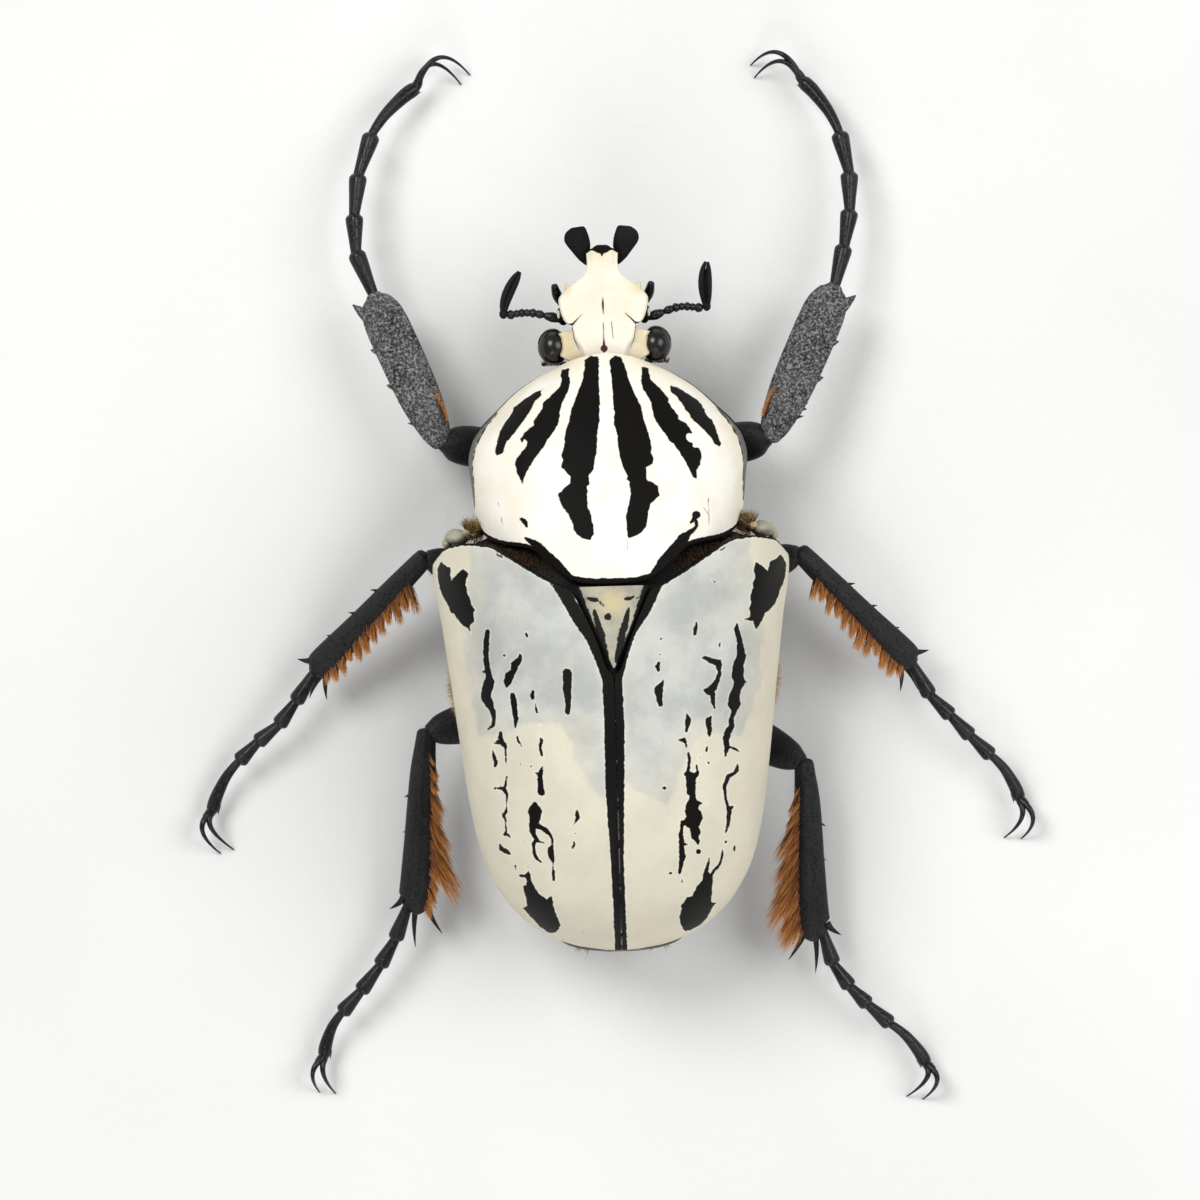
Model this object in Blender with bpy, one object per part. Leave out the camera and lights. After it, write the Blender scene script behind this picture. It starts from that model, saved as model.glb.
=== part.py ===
"""Goliath beetle, male, as a life-size museum model: hard pieces of one set specimen with its legs spread.

The head points towards -Y, the back is up (+Z) and the animal's left side is at +X. The origin is on
the floor, under the middle of the whole animal with its legs. Sizes are in millimetres and are scaled
to metres when a mesh is finished.
"""

import bisect
import math

import bmesh
import bpy
from mathutils import Matrix, Vector

MM = 0.001
GAP = 0.3  # clear space between neighbouring pieces
UP = Vector((0.0, 0.0, 1.0))
SIDES = {"left": 1.0, "right": -1.0}

# Wing cases: stations are (y, value) from base to tip, and the front edge is (share of half width, y).
ELYTRA_HALF_WIDTH = [(-5.0, 20.1), (-1.7, 20.9), (5.0, 20.0), (13.0, 19.0), (22.0, 17.9), (28.0, 17.0),
                     (33.0, 15.7), (37.0, 13.6), (39.5, 11.4), (41.5, 8.5), (42.8, 5.2), (43.3, 2.2)]
ELYTRA_CREST = [(-5.0, 28.4), (0.0, 29.5), (5.0, 30.3), (10.0, 30.9), (16.0, 31.2), (22.0, 30.6),
                (28.0, 29.0), (33.0, 26.6), (37.0, 23.8), (40.0, 20.9), (43.3, 16.8)]
ELYTRA_MARGIN = [(-5.0, 17.0), (-1.5, 15.4), (5.0, 14.4), (15.0, 13.9), (30.0, 13.8), (43.3, 13.9)]
ELYTRA_FRONT = [(0.0, 11.2), (0.04, 10.2), (0.09, 7.3), (0.17, 3.4), (0.22, 1.3), (0.30, 0.4), (0.40, -0.8),
                (0.60, -3.4), (0.70, -4.4), (0.83, -4.7), (0.94, -4.3), (1.0, -2.6)]
ELYTRA_COLUMNS = [0.0, 0.05, 0.11, 0.17, 0.23, 0.32, 0.42, 0.52, 0.62, 0.72, 0.81, 0.88, 0.94, 0.98, 1.0]
ELYTRA_ROWS = 17
ELYTRA_END = 43.3
ELYTRA_THICKNESS = 0.9
ELYTRA_BULGE = (2.5, 2.0)  # exponents of the section's curve

# Pronotum: u runs from the front edge (0) to the rear edge (1), t from the midline (0) to the side (1).
PRONOTUM_HALF_WIDTH = [(0.0, 5.5), (0.05, 7.35), (0.17, 10.6), (0.30, 13.0), (0.40, 14.75), (0.50, 15.9),
                       (0.62, 16.35), (0.76, 16.1), (0.9, 15.85), (1.0, 15.6)]
PRONOTUM_CREST = [(0.0, 19.6), (0.12, 22.0), (0.3, 25.0), (0.5, 27.3), (0.75, 29.1), (0.9, 29.5),
                  (1.0, 29.3)]
PRONOTUM_MARGIN = [(0.0, 15.6), (0.25, 15.0), (0.6, 14.6), (0.85, 15.2), (1.0, 16.0)]
PRONOTUM_FRONT = [(0.0, -26.5), (0.5, -26.1), (1.0, -25.2)]
PRONOTUM_REAR = [(0.0, 0.3), (0.16, 0.2), (0.31, -0.3), (0.46, -2.2), (0.60, -3.9), (0.8, -4.5),
                 (0.93, -5.5), (1.0, -7.6)]
PROSTERNUM_DEPTH = [(0.0, 11.4), (0.25, 8.0), (0.45, 6.2), (0.8, 6.4), (1.0, 8.2)]
PROSTERNUM_FRONT = [(0.0, -24.2), (1.0, -25.2)]
PROSTERNUM_REAR = [(0.0, -7.9), (1.0, -8.2)]
PRONOTUM_BULGE, PROSTERNUM_BULGE = (2.3, 2.0), (1.9, 1.9)
NECK_PLANE_FRONT = -24.6
NECK_PLANE_REAR = -7.5

# Body under the wing cases.
BELLY = 7.6
WAIST = 12.15  # between thorax and abdomen
THORAX_HALF_WIDTH = [(-7.2, 9.8), (-6.3, 12.0), (-5.3, 14.4), (-4.3, 16.8), (-3.0, 18.4), (-1.5, 19.2)]
THORAX_CREST = [(-7.2, 23.0), (-4.0, 25.6), (-1.0, 27.2), (1.0, 28.2)]
BODY_MARGIN_DROP = 0.2
BODY_UNDERSIDE = [(-7.2, 9.4), (-5.5, 7.4), (-4.0, 6.4), (17.0, 6.2), (24.0, 7.6), (32.0, 8.3),
                  (38.0, 9.4), (41.2, 10.8)]
BODY_FLANK = [(-7.2, 1.7), (18.0, 1.7), (26.0, 2.1), (41.0, 2.3)]  # exponent: low is keeled, high is round
STERNITE_EDGES = [16.6, 21.4, 26.0, 30.6, 35.4]
STERNITE_STEP = 0.35
ABDOMEN_END = 41.2
PYGIDIUM_HALF_WIDTH, PYGIDIUM_HALF_HEIGHT, PYGIDIUM_MIDDLE = 7.4, 1.45, 12.05
PYGIDIUM_RINGS = [(0.0, 0.86), (0.4, 1.0), (1.3, 0.86), (1.9, 0.6), (2.2, 0.3)]  # depth behind belly, size

# Shoulder plates: two rounded lumps at each side, as middle x, y, z and half sizes.
SHOULDER_LUMPS = [((18.05, -5.5, 17.0), (1.85, 0.8, 2.7)), ((16.1, -5.9, 18.0), (1.3, 0.6, 2.6))]

# Head: half width, top line and underside by y, and the raised plate between the eyes.
HEAD_HALF_WIDTH = [(-39.5, 0.85), (-39.15, 1.0), (-38.9, 1.2), (-38.8, 1.6), (-38.6, 1.85), (-37.3, 1.8),
                   (-36.3, 1.92), (-35.7, 2.3), (-35.3, 2.9), (-35.05, 3.5), (-34.9, 4.35), (-33.8, 4.75),
                   (-32.9, 5.25), (-31.8, 5.1), (-30.6, 4.7), (-30.1, 4.3), (-29.9, 3.75), (-29.4, 3.8),
                   (-29.1, 5.2), (-28.4, 5.05), (-27.4, 5.0), (-26.4, 5.2), (-26.0, 4.7), (-25.6, 4.2),
                   (-24.9, 4.1)]
HEAD_TOP = [(-39.5, 14.5), (-39.0, 15.2), (-38.4, 15.5), (-37.5, 15.7), (-35.0, 16.6), (-31.0, 17.9),
            (-28.0, 18.6), (-26.5, 18.6), (-24.9, 18.2)]
HEAD_CROWN, HEAD_RIM = 0.5, 0.8  # fall of the top from the midline to the edge, thickness of the edge
HEAD_PLATE = [(-30.2, 4.6), (-29.4, 3.8), (-28.4, 3.5), (-27.0, 2.7), (-25.5, 2.3)]
HEAD_PLATE_STEP = 0.6
HEAD_CAPSULE_WIDTH = [(-39.5, 0.8), (-38.0, 1.0), (-37.0, 1.3), (-35.0, 3.0), (-32.0, 4.2), (-30.5, 4.6),
                      (-29.0, 4.7), (-24.9, 4.4)]
HEAD_UNDERSIDE = [(-39.5, 13.6), (-38.0, 12.9), (-36.0, 11.9), (-32.0, 10.7), (-28.0, 10.6), (-24.9, 12.2)]
MOUTH_RINGS = [(-27.6, 1.9, 0.4), (-29.0, 2.5, 0.5), (-32.0, 2.6, 0.5), (-34.0, 1.9, 0.5), (-36.0, 1.0, 0.4)]
PALP_PATH = [(2.9, -31.3, 10.2), (3.8, -31.9, 10.5), (4.8, -32.7, 11.1), (5.4, -33.7, 11.8),
             (5.7, -34.8, 12.4)]
PALP_RADII = [0.3, 0.38, 0.34, 0.42, 0.26]
HORN_RISE = 0.55
HORN_RINGS = [  # inner x and y, outer x and y, height of the middle, half thickness
    (1.7, -37.5, 2.25, -36.95, 13.5, 0.4), (1.6, -38.3, 2.8, -37.75, 13.65, 0.46),
    (1.5, -39.2, 3.65, -38.75, 14.45, 0.48), (1.35, -39.9, 4.42, -39.6, 15.15, 0.45),
    (1.62, -40.6, 4.35, -40.3, 15.75, 0.38), (1.88, -41.2, 3.95, -41.0, 16.2, 0.3),
    (2.2, -41.6, 3.05, -41.56, 16.5, 0.18),
]
EYE_CENTRE = Vector((6.0, -27.5, 15.3))
EYE_RADII = Vector((1.85, 2.05, 2.3))

# Feelers, seen from above: the root, the beads outwards, and the root of the club.
ANTENNA_HEIGHT = 14.9
ANTENNA_PATHS = {
    1.0: [(4.75, -30.6), (6.0, -31.0), (7.0, -31.25), (7.9, -31.5), (8.6, -31.6), (9.25, -31.6),
          (9.85, -31.6), (10.45, -31.5), (11.0, -31.4)],
    -1.0: [(4.8, -30.6), (6.1, -30.95), (7.1, -31.3), (8.1, -31.65), (8.8, -31.8), (9.45, -31.85),
           (10.1, -31.8), (10.7, -31.7), (11.3, -31.6)],
}
ANTENNA_RADII = [0.34, 0.5, 0.58, 0.4, 0.45, 0.34, 0.44, 0.34, 0.42]
CLUB_PATHS = {  # the club's middle line from above
    1.0: [(11.75, -31.55), (11.6, -32.6), (11.2, -33.8), (10.65, -34.9), (10.15, -35.75), (9.75, -36.4)],
    -1.0: [(12.1, -31.8), (12.05, -32.8), (12.0, -34.0), (12.03, -35.2), (12.13, -36.2), (12.25, -36.95)],
}
CLUB_BOW = {1.0: 0.45, -1.0: 0.6}  # how far the outer leaves stand off the middle line
CLUB_LEAF = [(0.25, 0.6), (0.3, 0.8), (0.33, 0.88), (0.31, 0.82), (0.25, 0.6), (0.12, 0.25)]  # half sizes
CLUB_ROOT_SHARE, CLUB_SPREAD_SHARE = 0.12, 0.76  # part of the bow that the leaves' length spans

# Legs: places of the joints seen from above, hip first, then knee, ankle and the ends of the five
# foot segments. Then the bend and the tip of the first claw, and how far the second one stands off it.
LEG_PLANS = {
    "fore_left": [(9.0, -15.2), (19.6, -16.7), (27.1, -34.4), (29.1, -39.6), (29.2, -44.0), (28.6, -48.8),
                  (26.9, -53.6), (21.5, -59.2)],
    "fore_right": [(-9.0, -15.2), (-19.2, -16.3), (-27.4, -33.9), (-28.7, -38.7), (-29.5, -42.9),
                   (-29.6, -47.4), (-28.6, -52.2), (-24.4, -58.7)],
    "mid_left": [(9.0, 1.6), (21.9, -3.3), (35.4, 9.8), (37.8, 13.3), (39.9, 16.0), (42.5, 18.0),
                 (44.8, 20.2), (48.2, 26.1)],
    "mid_right": [(-9.0, 1.6), (-22.4, -2.6), (-35.3, 10.8), (-37.4, 14.7), (-39.8, 17.2), (-42.1, 19.7),
                  (-44.5, 22.1), (-47.8, 27.4)],
    "hind_left": [(9.0, 14.8), (22.3, 17.4), (25.2, 37.9), (26.8, 41.8), (28.7, 44.9), (31.1, 47.9),
                  (33.4, 50.4), (35.7, 55.6)],
    "hind_right": [(-9.0, 14.8), (-22.1, 22.2), (-23.9, 42.4), (-25.0, 46.2), (-26.9, 49.0), (-29.0, 51.2),
                   (-31.6, 53.6), (-35.8, 58.6)],
}
LEG_HEIGHTS = {
    "fore": [5.4, 9.6, 7.0, 6.4, 6.0, 5.4, 4.6, 2.9],
    "mid": [5.2, 10.4, 5.4, 4.9, 4.4, 3.9, 3.4, 2.2],
    "hind": [5.2, 9.6, 5.4, 4.9, 4.4, 3.9, 3.4, 2.2],
}
CLAW_PLANS = {
    "fore_left": ((18.6, -62.9), (15.1, -60.7), (1.1, 1.1)),
    "fore_right": ((-21.6, -62.3), (-18.4, -60.9), (-0.4, 1.5)),
    "mid_left": ((49.5, 28.4), (47.5, 31.2), (-1.6, -0.4)),
    "mid_right": ((-49.4, 29.8), (-48.0, 32.2), (2.0, -0.2)),
    "hind_left": ((37.2, 57.6), (36.5, 60.0), (-1.9, 0.2)),
    "hind_right": ((-37.1, 60.6), (-35.4, 62.9), (1.9, -0.4)),
}
CLAW_RADIUS = 0.5
COXA_ROOTS = {"fore": (5.2, -14.6), "mid": (4.6, 2.4), "hind": (4.6, 14.2)}
COXA_RADII = {"fore": (2.9, 2.6), "mid": (2.7, 2.6), "hind": (2.9, 3.4)}
COXA_TURNS = [  # share of the way to the hip, sag, normal outwards and up, width share, length share
    (0.0, 0.0, (0.0, -1.0), 1.0, 1.0), (0.35, 0.5, (0.5, -0.9), 1.0, 0.95),
    (0.7, 0.35, (1.0, -0.6), 0.75, 0.8),
]
HIP, KNEE, ANKLE, CLAW_ROOT = (1.5, 1.3), (1.1, 1.1), (0.62, 0.6), (0.5, 0.5)  # half width, half height
FEMORA = {
    "fore": [(0.14, 2.0, 1.5), (0.4, 2.3, 1.65), (0.7, 2.4, 1.6), (0.88, 2.0, 1.4)],
    "mid": [(0.14, 2.0, 1.5), (0.4, 2.3, 1.65), (0.7, 2.1, 1.55), (0.88, 1.7, 1.35)],
    "hind": [(0.14, 2.1, 1.5), (0.4, 2.5, 1.65), (0.7, 2.3, 1.55), (0.88, 1.8, 1.35)],
}
TIBIAE = {
    "fore": [(0.09, 1.7, 1.1), (0.3, 2.3, 1.2), (0.6, 2.45, 1.15), (0.85, 2.35, 1.1), (0.96, 1.7, 0.95)],
    "mid": [(0.08, 1.2, 1.1), (0.3, 1.35, 1.25), (0.6, 1.5, 1.3), (0.88, 1.75, 1.35), (0.97, 1.6, 1.2)],
    "hind": [(0.07, 1.2, 1.1), (0.25, 1.5, 1.3), (0.6, 1.8, 1.4), (0.88, 1.98, 1.45), (0.97, 1.8, 1.3)],
}
SHIN_BOW = {"hind_left": 0.85, "hind_right": 1.1}  # how far the lower shin lies inwards of the line to the ankle
SHIN_BOW_SHARE = [(0.05, 0.0), (0.3, 0.18), (0.55, 0.6), (0.8, 0.95), (0.93, 1.0), (1.0, 0.4)]
TARSOMERE = [(0.0, 0.42, 0.0), (0.3, 0.56, 0.05), (0.72, 0.76, 0.12), (0.95, 0.82, 0.2)]  # share, half, sag
TARSUS_STOUTNESS = {"fore": 1.1, "mid": 1.0, "hind": 1.0}
LAST_SEGMENT_SLIMNESS = 0.86
CLAW_SEGMENT_BOW = 0.5  # how far the last foot segment bends outwards
FRINGES = {  # hair comb: (share along the shin, how far a lock stands off it), lean towards the foot
    "mid_left": ([(0.2, 2.9), (0.45, 2.2), (0.7, 1.7), (0.93, 1.6)], 0.5),
    "mid_right": ([(0.2, 2.2), (0.5, 2.3), (0.8, 2.0), (0.93, 2.1)], 0.5),
    "hind_left": ([(0.14, 0.6), (0.28, 1.9), (0.43, 3.3), (0.52, 3.9), (0.66, 3.8), (0.76, 2.9),
                   (0.93, 2.0)], 1.3),
    "hind_right": ([(0.14, 0.7), (0.24, 2.3), (0.35, 3.8), (0.6, 4.1), (0.73, 3.8), (0.93, 2.9)], 1.25),
}
FRINGE_LOCKS = 12
SPURS = {  # root and tip off the shin's axis, inwards positive, then tip past the ankle, drop and radius
    "mid": [(1.0, 3.3, 1.5, 0.6, 0.42), (0.8, 1.7, 2.9, 1.2, 0.4), (-1.0, -2.5, 0.4, 0.0, 0.5)],
    "hind": [(1.8, 4.4, 2.9, 0.6, 0.42), (1.0, 1.4, 4.9, 1.3, 0.42), (-0.6, -2.1, 0.6, 0.0, 0.45)],
}

MATERIALS = {  # colour, roughness, metallic
    "ivory": ((0.86, 0.80, 0.64), 0.45, 0.0),
    "black_horn": ((0.015, 0.014, 0.014), 0.35, 0.0),
    "eye": ((0.02, 0.018, 0.015), 0.12, 0.0),
    "dark_belly": ((0.03, 0.028, 0.02), 0.3, 0.0),
    "grey_plate": ((0.55, 0.54, 0.48), 0.5, 0.0),
}


def profile(stations):
    """A smooth curve through (place, value) stations that doesn't overshoot them."""
    places, values = zip(*stations)
    steps = [(values[i + 1] - values[i]) / (places[i + 1] - places[i]) for i in range(len(places) - 1)]
    inner = [0.0 if a * b <= 0 else 2 * a * b / (a + b) for a, b in zip(steps, steps[1:])]
    slopes = [steps[0], *inner, steps[-1]]

    def value(place):
        if place <= places[0]:
            return values[0]
        if place >= places[-1]:
            return values[-1]
        i = bisect.bisect_right(places, place) - 1
        h = places[i + 1] - places[i]
        s = (place - places[i]) / h
        start = values[i] * (1 + 2 * s) + slopes[i] * h * s
        end = values[i + 1] * (3 - 2 * s) - slopes[i + 1] * h * (1 - s)
        return start * (1 - s) ** 2 + end * s * s

    return value


elytra_half_width = profile(ELYTRA_HALF_WIDTH)
elytra_crest = profile(ELYTRA_CREST)
elytra_margin = profile(ELYTRA_MARGIN)
elytra_front = profile(ELYTRA_FRONT)


def arch(t, bulge=ELYTRA_BULGE):
    """Height share of a domed section at the share t of its half width."""
    return max(0.0, 1 - abs(t) ** bulge[0]) ** (1 / bulge[1])


def material(name):
    """The named finish, made once."""
    found = bpy.data.materials.get(name)
    if found:
        return found
    colour, roughness, metallic = MATERIALS[name]
    made = bpy.data.materials.new(name)
    made.use_nodes = True
    shader = made.node_tree.nodes["Principled BSDF"]
    shader.inputs["Base Color"].default_value = (*colour, 1.0)
    shader.inputs["Roughness"].default_value = roughness
    shader.inputs["Metallic"].default_value = metallic
    made.diffuse_color = (*colour, 1.0)
    return made


def loft(rings, start=None, end=None):
    """Points and faces of a closed shape through rings of like count, with flat ends or end points."""
    count = len(rings[0])
    points = [p for ring in rings for p in ring]
    faces = [
        (i * count + j, i * count + (j + 1) % count, (i + 1) * count + (j + 1) % count, (i + 1) * count + j)
        for i in range(len(rings) - 1)
        for j in range(count)
    ]
    last = (len(rings) - 1) * count
    for tip, base in ((start, 0), (end, last)):
        if tip is None:
            faces.append(tuple(range(base, base + count)))
        else:
            points.append(tip)
            faces += [(base + j, base + (j + 1) % count, len(points) - 1) for j in range(count)]
    return points, faces


def oval(centre, normal, half_width, half_height, count=8, side=None, turn=0.0):
    """A ring of points round centre, across normal, its width level unless side says otherwise."""
    normal = Vector(normal).normalized()
    side = normal.cross(UP) if side is None else Vector(side)
    side = (side - side.dot(normal) * normal).normalized()
    up = side.cross(normal)
    angles = [2 * math.pi * (k + turn) / count for k in range(count)]
    return [
        Vector(centre) + side * (half_width * math.cos(a)) + up * (half_height * math.sin(a)) for a in angles
    ]


def ball(centre, radii, rows=7, count=12):
    """An ellipsoid with its poles up and down."""
    centre = Vector(centre)
    rings = []
    for i in range(1, rows):
        a = math.pi * i / rows - math.pi / 2
        rings.append([
            centre + Vector((radii[0] * math.cos(a) * math.cos(b), radii[1] * math.cos(a) * math.sin(b),
                             radii[2] * math.sin(a)))
            for b in (2 * math.pi * k / count for k in range(count))
        ])
    return loft(rings, centre - UP * radii[2], centre + UP * radii[2])


def mesh_object(name, shape):
    """An object in millimetres from points and faces, its faces pointing out."""
    mesh = bpy.data.meshes.new(name)
    mesh.from_pydata([tuple(p) for p in shape[0]], [], shape[1])
    work = bmesh.new()
    work.from_mesh(mesh)
    bmesh.ops.triangulate(work, faces=[f for f in work.faces if len(f.verts) > 4])
    bmesh.ops.recalc_face_normals(work, faces=work.faces)
    if work.calc_volume(signed=True) < 0:
        bmesh.ops.reverse_faces(work, faces=work.faces)
    work.to_mesh(mesh)
    work.free()
    made = bpy.data.objects.new(name, mesh)
    bpy.context.scene.collection.objects.link(made)
    return made


def combine(host, shapes, operation):
    """Joins closed shapes to the host object, or cuts them from it, and applies the result."""
    group = bpy.data.collections.new(host.name + "_group")
    bpy.context.scene.collection.children.link(group)
    helpers = [mesh_object(f"{host.name}_{operation}_{i}", shape) for i, shape in enumerate(shapes)]
    for helper in helpers:
        bpy.context.scene.collection.objects.unlink(helper)
        group.objects.link(helper)
    modifier = host.modifiers.new(operation, "BOOLEAN")
    modifier.operation = operation
    modifier.operand_type = "COLLECTION"
    modifier.collection = group
    modifier.solver = "EXACT"
    bpy.context.view_layer.update()
    graph = bpy.context.evaluated_depsgraph_get()
    result = bpy.data.meshes.new_from_object(host.evaluated_get(graph))
    host.modifiers.remove(modifier)
    host.data = result
    for helper in helpers:
        bpy.data.objects.remove(helper)
    bpy.data.collections.remove(group)


def keep_largest(mesh):
    """Drops every closed surface of the mesh but the one that takes the most room."""
    work = bmesh.new()
    work.from_mesh(mesh)
    unseen = set(work.verts)
    shells = []
    while unseen:
        shell, edge = set(), [unseen.pop()]
        while edge:
            vert = edge.pop()
            shell.add(vert)
            near = {e.other_vert(vert) for e in vert.link_edges} & unseen
            unseen -= near
            edge += near
        shells.append(shell)

    def room(shell):
        corners = [[f(v.co[i] for v in shell) for f in (min, max)] for i in range(3)]
        return math.prod(high - low for low, high in corners)

    kept = max(shells, key=room)
    bmesh.ops.delete(work, geom=[v for v in work.verts if v not in kept], context="VERTS")
    work.to_mesh(mesh)
    work.free()


def piece(name, finish, shape, joined=(), cut=()):
    """One named, finished solid of the animal in metres."""
    made = mesh_object(name, shape)
    if joined:
        combine(made, joined, "UNION")
    if cut:
        combine(made, cut, "DIFFERENCE")
    keep_largest(made.data)
    made.data.transform(Matrix.Scale(MM, 4))
    made.data.materials.clear()
    made.data.materials.append(material(finish))
    made.data.shade_smooth()
    made.data.set_sharp_from_angle(angle=math.radians(40))
    made.parent = BEETLE
    return made


def elytron_point(side, down, t, inset=0.0):
    """A point of a wing case: down runs from its front edge to its tip, t from the suture to the margin."""
    front = elytra_front(t)
    y = front + (ELYTRA_END - inset - front) * down
    half = elytra_half_width(y + inset) - inset
    margin = elytra_margin(y)
    x = GAP / 2 + t * (half - GAP / 2)
    return Vector((side * x, y, margin + (elytra_crest(y) - inset - margin) * arch(t)))


def build_elytron(name, side):
    """A domed shell, open below."""
    downs = [1 - (1 - i / ELYTRA_ROWS) ** 1.6 for i in range(ELYTRA_ROWS + 1)]
    columns = len(ELYTRA_COLUMNS)
    outer = [elytron_point(side, d, t) for d in downs for t in ELYTRA_COLUMNS]
    inner = [elytron_point(side, d, t, ELYTRA_THICKNESS) for d in downs for t in ELYTRA_COLUMNS]
    faces = []
    for i in range(ELYTRA_ROWS):
        for j in range(columns - 1):
            a = i * columns + j
            corners = (a, a + 1, a + columns + 1, a + columns)
            for tri in ((0, 1, 2), (0, 2, 3)):
                faces.append(tuple(corners[k] for k in tri))
                faces.append(tuple(corners[k] + len(outer) for k in reversed(tri)))
    rim = list(range(columns))
    rim += [i * columns + columns - 1 for i in range(1, ELYTRA_ROWS + 1)]
    rim += [ELYTRA_ROWS * columns + j for j in range(columns - 2, -1, -1)]
    rim += [i * columns for i in range(ELYTRA_ROWS - 1, 0, -1)]
    for a, b in zip(rim, rim[1:] + rim[:1]):
        faces.append((a, b, b + len(outer), a + len(outer)))
    return piece(name, "ivory", (outer + inner, faces))


def body_ring(y, half, crest, margin, underside, flank, above=9, below=19):
    """A section of the trunk: a dome above the margin and a keeled or round belly below it."""
    angles = [math.pi * k / above for k in range(above)] + [math.pi * (1 + k / below) for k in range(below)]
    ring = []
    for a in angles:
        t = math.cos(a)
        if a < math.pi:
            z = margin + (crest - margin) * arch(t)
        else:
            z = margin - (margin - underside) * arch(t, (flank, flank))
            z = max(z, BELLY)
        ring.append(Vector((half * t, y, z)))
    return ring


def trunk_section(y, shrink=0.0):
    """The trunk's section at y, under the wing cases where they cover it."""
    lining = ELYTRA_THICKNESS + 1.5 * GAP
    half = min(profile(THORAX_HALF_WIDTH)(y) if y < 0 else 99.0, elytra_half_width(y + lining) - lining)
    crest = min(profile(THORAX_CREST)(y) if y < 1 else 99.0, elytra_crest(y) - lining)
    margin = elytra_margin(y) - BODY_MARGIN_DROP
    underside = profile(BODY_UNDERSIDE)(y)
    return body_ring(y, half - shrink, crest - shrink, margin, underside + shrink, profile(BODY_FLANK)(y))


def build_thorax():
    """Middle and rear thorax, with the keel that points forward between the middle legs."""
    places = [-7.2, -6.3, -5.3, -4.3, -3.0, -1.5, 1.0, 4.5, 8.5, WAIST - GAP / 2]
    keel = ball((0.0, -2.2, BELLY + 0.2), (1.5, 3.4, 1.3), rows=6, count=10)
    return piece("thorax", "dark_belly", loft([trunk_section(y) for y in places]), joined=[keel])


def build_abdomen():
    """Belly plates that lap one over the next, narrowing to the tail plate."""
    places = [(WAIST + GAP / 2, 0.0)]
    for edge in STERNITE_EDGES:
        places += [(edge - 0.12, 0.0), (edge + 0.12, STERNITE_STEP)]
    places += [(39.2, 0.0), (ABDOMEN_END, 0.3)]
    return piece("abdomen", "dark_belly", loft([trunk_section(y, shrink) for y, shrink in places]))


def build_pygidium():
    """The tail plate that shows under the ends of the wing cases."""
    rings = []
    for depth, size in PYGIDIUM_RINGS:
        y = ABDOMEN_END + GAP + depth
        rings.append(oval((0.0, y, PYGIDIUM_MIDDLE - 0.2 * depth), (0, 1, 0), PYGIDIUM_HALF_WIDTH * size,
                          PYGIDIUM_HALF_HEIGHT * size, count=18))
    return piece("pygidium", "dark_belly", loft(rings))


def pronotum_ring(u, count=34):
    """One ring of the front thorax: the domed back plate above, the breast below."""
    half, crest, margin = (profile(s)(u) for s in (PRONOTUM_HALF_WIDTH, PRONOTUM_CREST, PRONOTUM_MARGIN))
    depth = profile(PROSTERNUM_DEPTH)(u)
    ring = []
    for k in range(count):
        a = 2 * math.pi * k / count
        t = math.cos(a)
        above = math.sin(a) >= -1e-9
        front, rear = (PRONOTUM_FRONT, PRONOTUM_REAR) if above else (PROSTERNUM_FRONT, PROSTERNUM_REAR)
        first, last = profile(front)(abs(t)), profile(rear)(abs(t))
        if above:
            z = margin + (crest - margin) * arch(t, PRONOTUM_BULGE)
        else:
            z = max(BELLY, margin - (margin - depth) * arch(t, PROSTERNUM_BULGE))
        ring.append(Vector((half * t, first + (last - first) * u, z)))
    return ring


def neck_ring(ring, y, wide, high, middle, share=1.0):
    """A smaller copy of a ring, moved the given share of the way to the plane at y."""
    return [
        Vector((p.x * wide, p.y + (y - p.y) * share, middle + (p.z - middle) * high)) for p in ring
    ]


def build_prothorax():
    """Back plate and breast in one, hollowed a little for the head and for the neck behind."""
    rings = [pronotum_ring(u) for u in (0.0, 0.06, 0.14, 0.24, 0.35, 0.47, 0.6, 0.73, 0.86, 0.95, 1.0)]
    front, rear = rings[0], rings[-1]
    rings.insert(0, neck_ring(front, NECK_PLANE_FRONT, 0.93, 0.90, 15.6, 0.1))
    rings.insert(0, neck_ring(front, NECK_PLANE_FRONT, 0.92, 0.88, 15.6))
    rings.append(neck_ring(rear, NECK_PLANE_REAR, 0.94, 0.92, 18.0, 0.1))
    rings.append(neck_ring(rear, NECK_PLANE_REAR, 0.72, 0.62, 18.0))
    return piece("prothorax", "ivory", loft(rings))


def build_scutellum():
    """The small three-cornered plate between the bases of the wing cases."""
    front, tip, half = 0.75, 10.3, 4.3
    rings = []
    for share in (0.0, 0.2, 0.4, 0.62, 0.82, 0.94):
        y = front + (tip - front) * share
        wide = half * (1 - share) ** 0.9
        top = elytra_crest(y) - 0.1
        deep = ELYTRA_THICKNESS
        rings.append([
            Vector((wide * across, y, top - drop * deep))
            for across, drop in ((-1, 0.75), (-0.9, 0.2), (-0.5, 0.0), (0.5, 0.0), (0.9, 0.2), (1, 0.75),
                                 (0.9, 1.0), (-0.9, 1.0))
        ])
    return piece("scutellum", "grey_plate", loft(rings))


def build_mesepimeron(name, side):
    """The pale side plate that rises between the back plate and the shoulder of a wing case."""
    lumps = [ball((side * x, y, z), radii, rows=7, count=12) for (x, y, z), radii in SHOULDER_LUMPS]
    return piece(name, "grey_plate", lumps[0], joined=lumps[1:])


def head_top(y, x):
    """Height of the head's upper face: a low dome, lower beside the plate between the eyes."""
    z = profile(HEAD_TOP)(y) - HEAD_CROWN * (x / 5.0) ** 2
    if y > HEAD_PLATE[0][0]:
        beside = (abs(x) - profile(HEAD_PLATE)(y)) / 0.5 + 0.5
        z -= HEAD_PLATE_STEP * min(max(beside, 0.0), 1.0)
    return z


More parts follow.
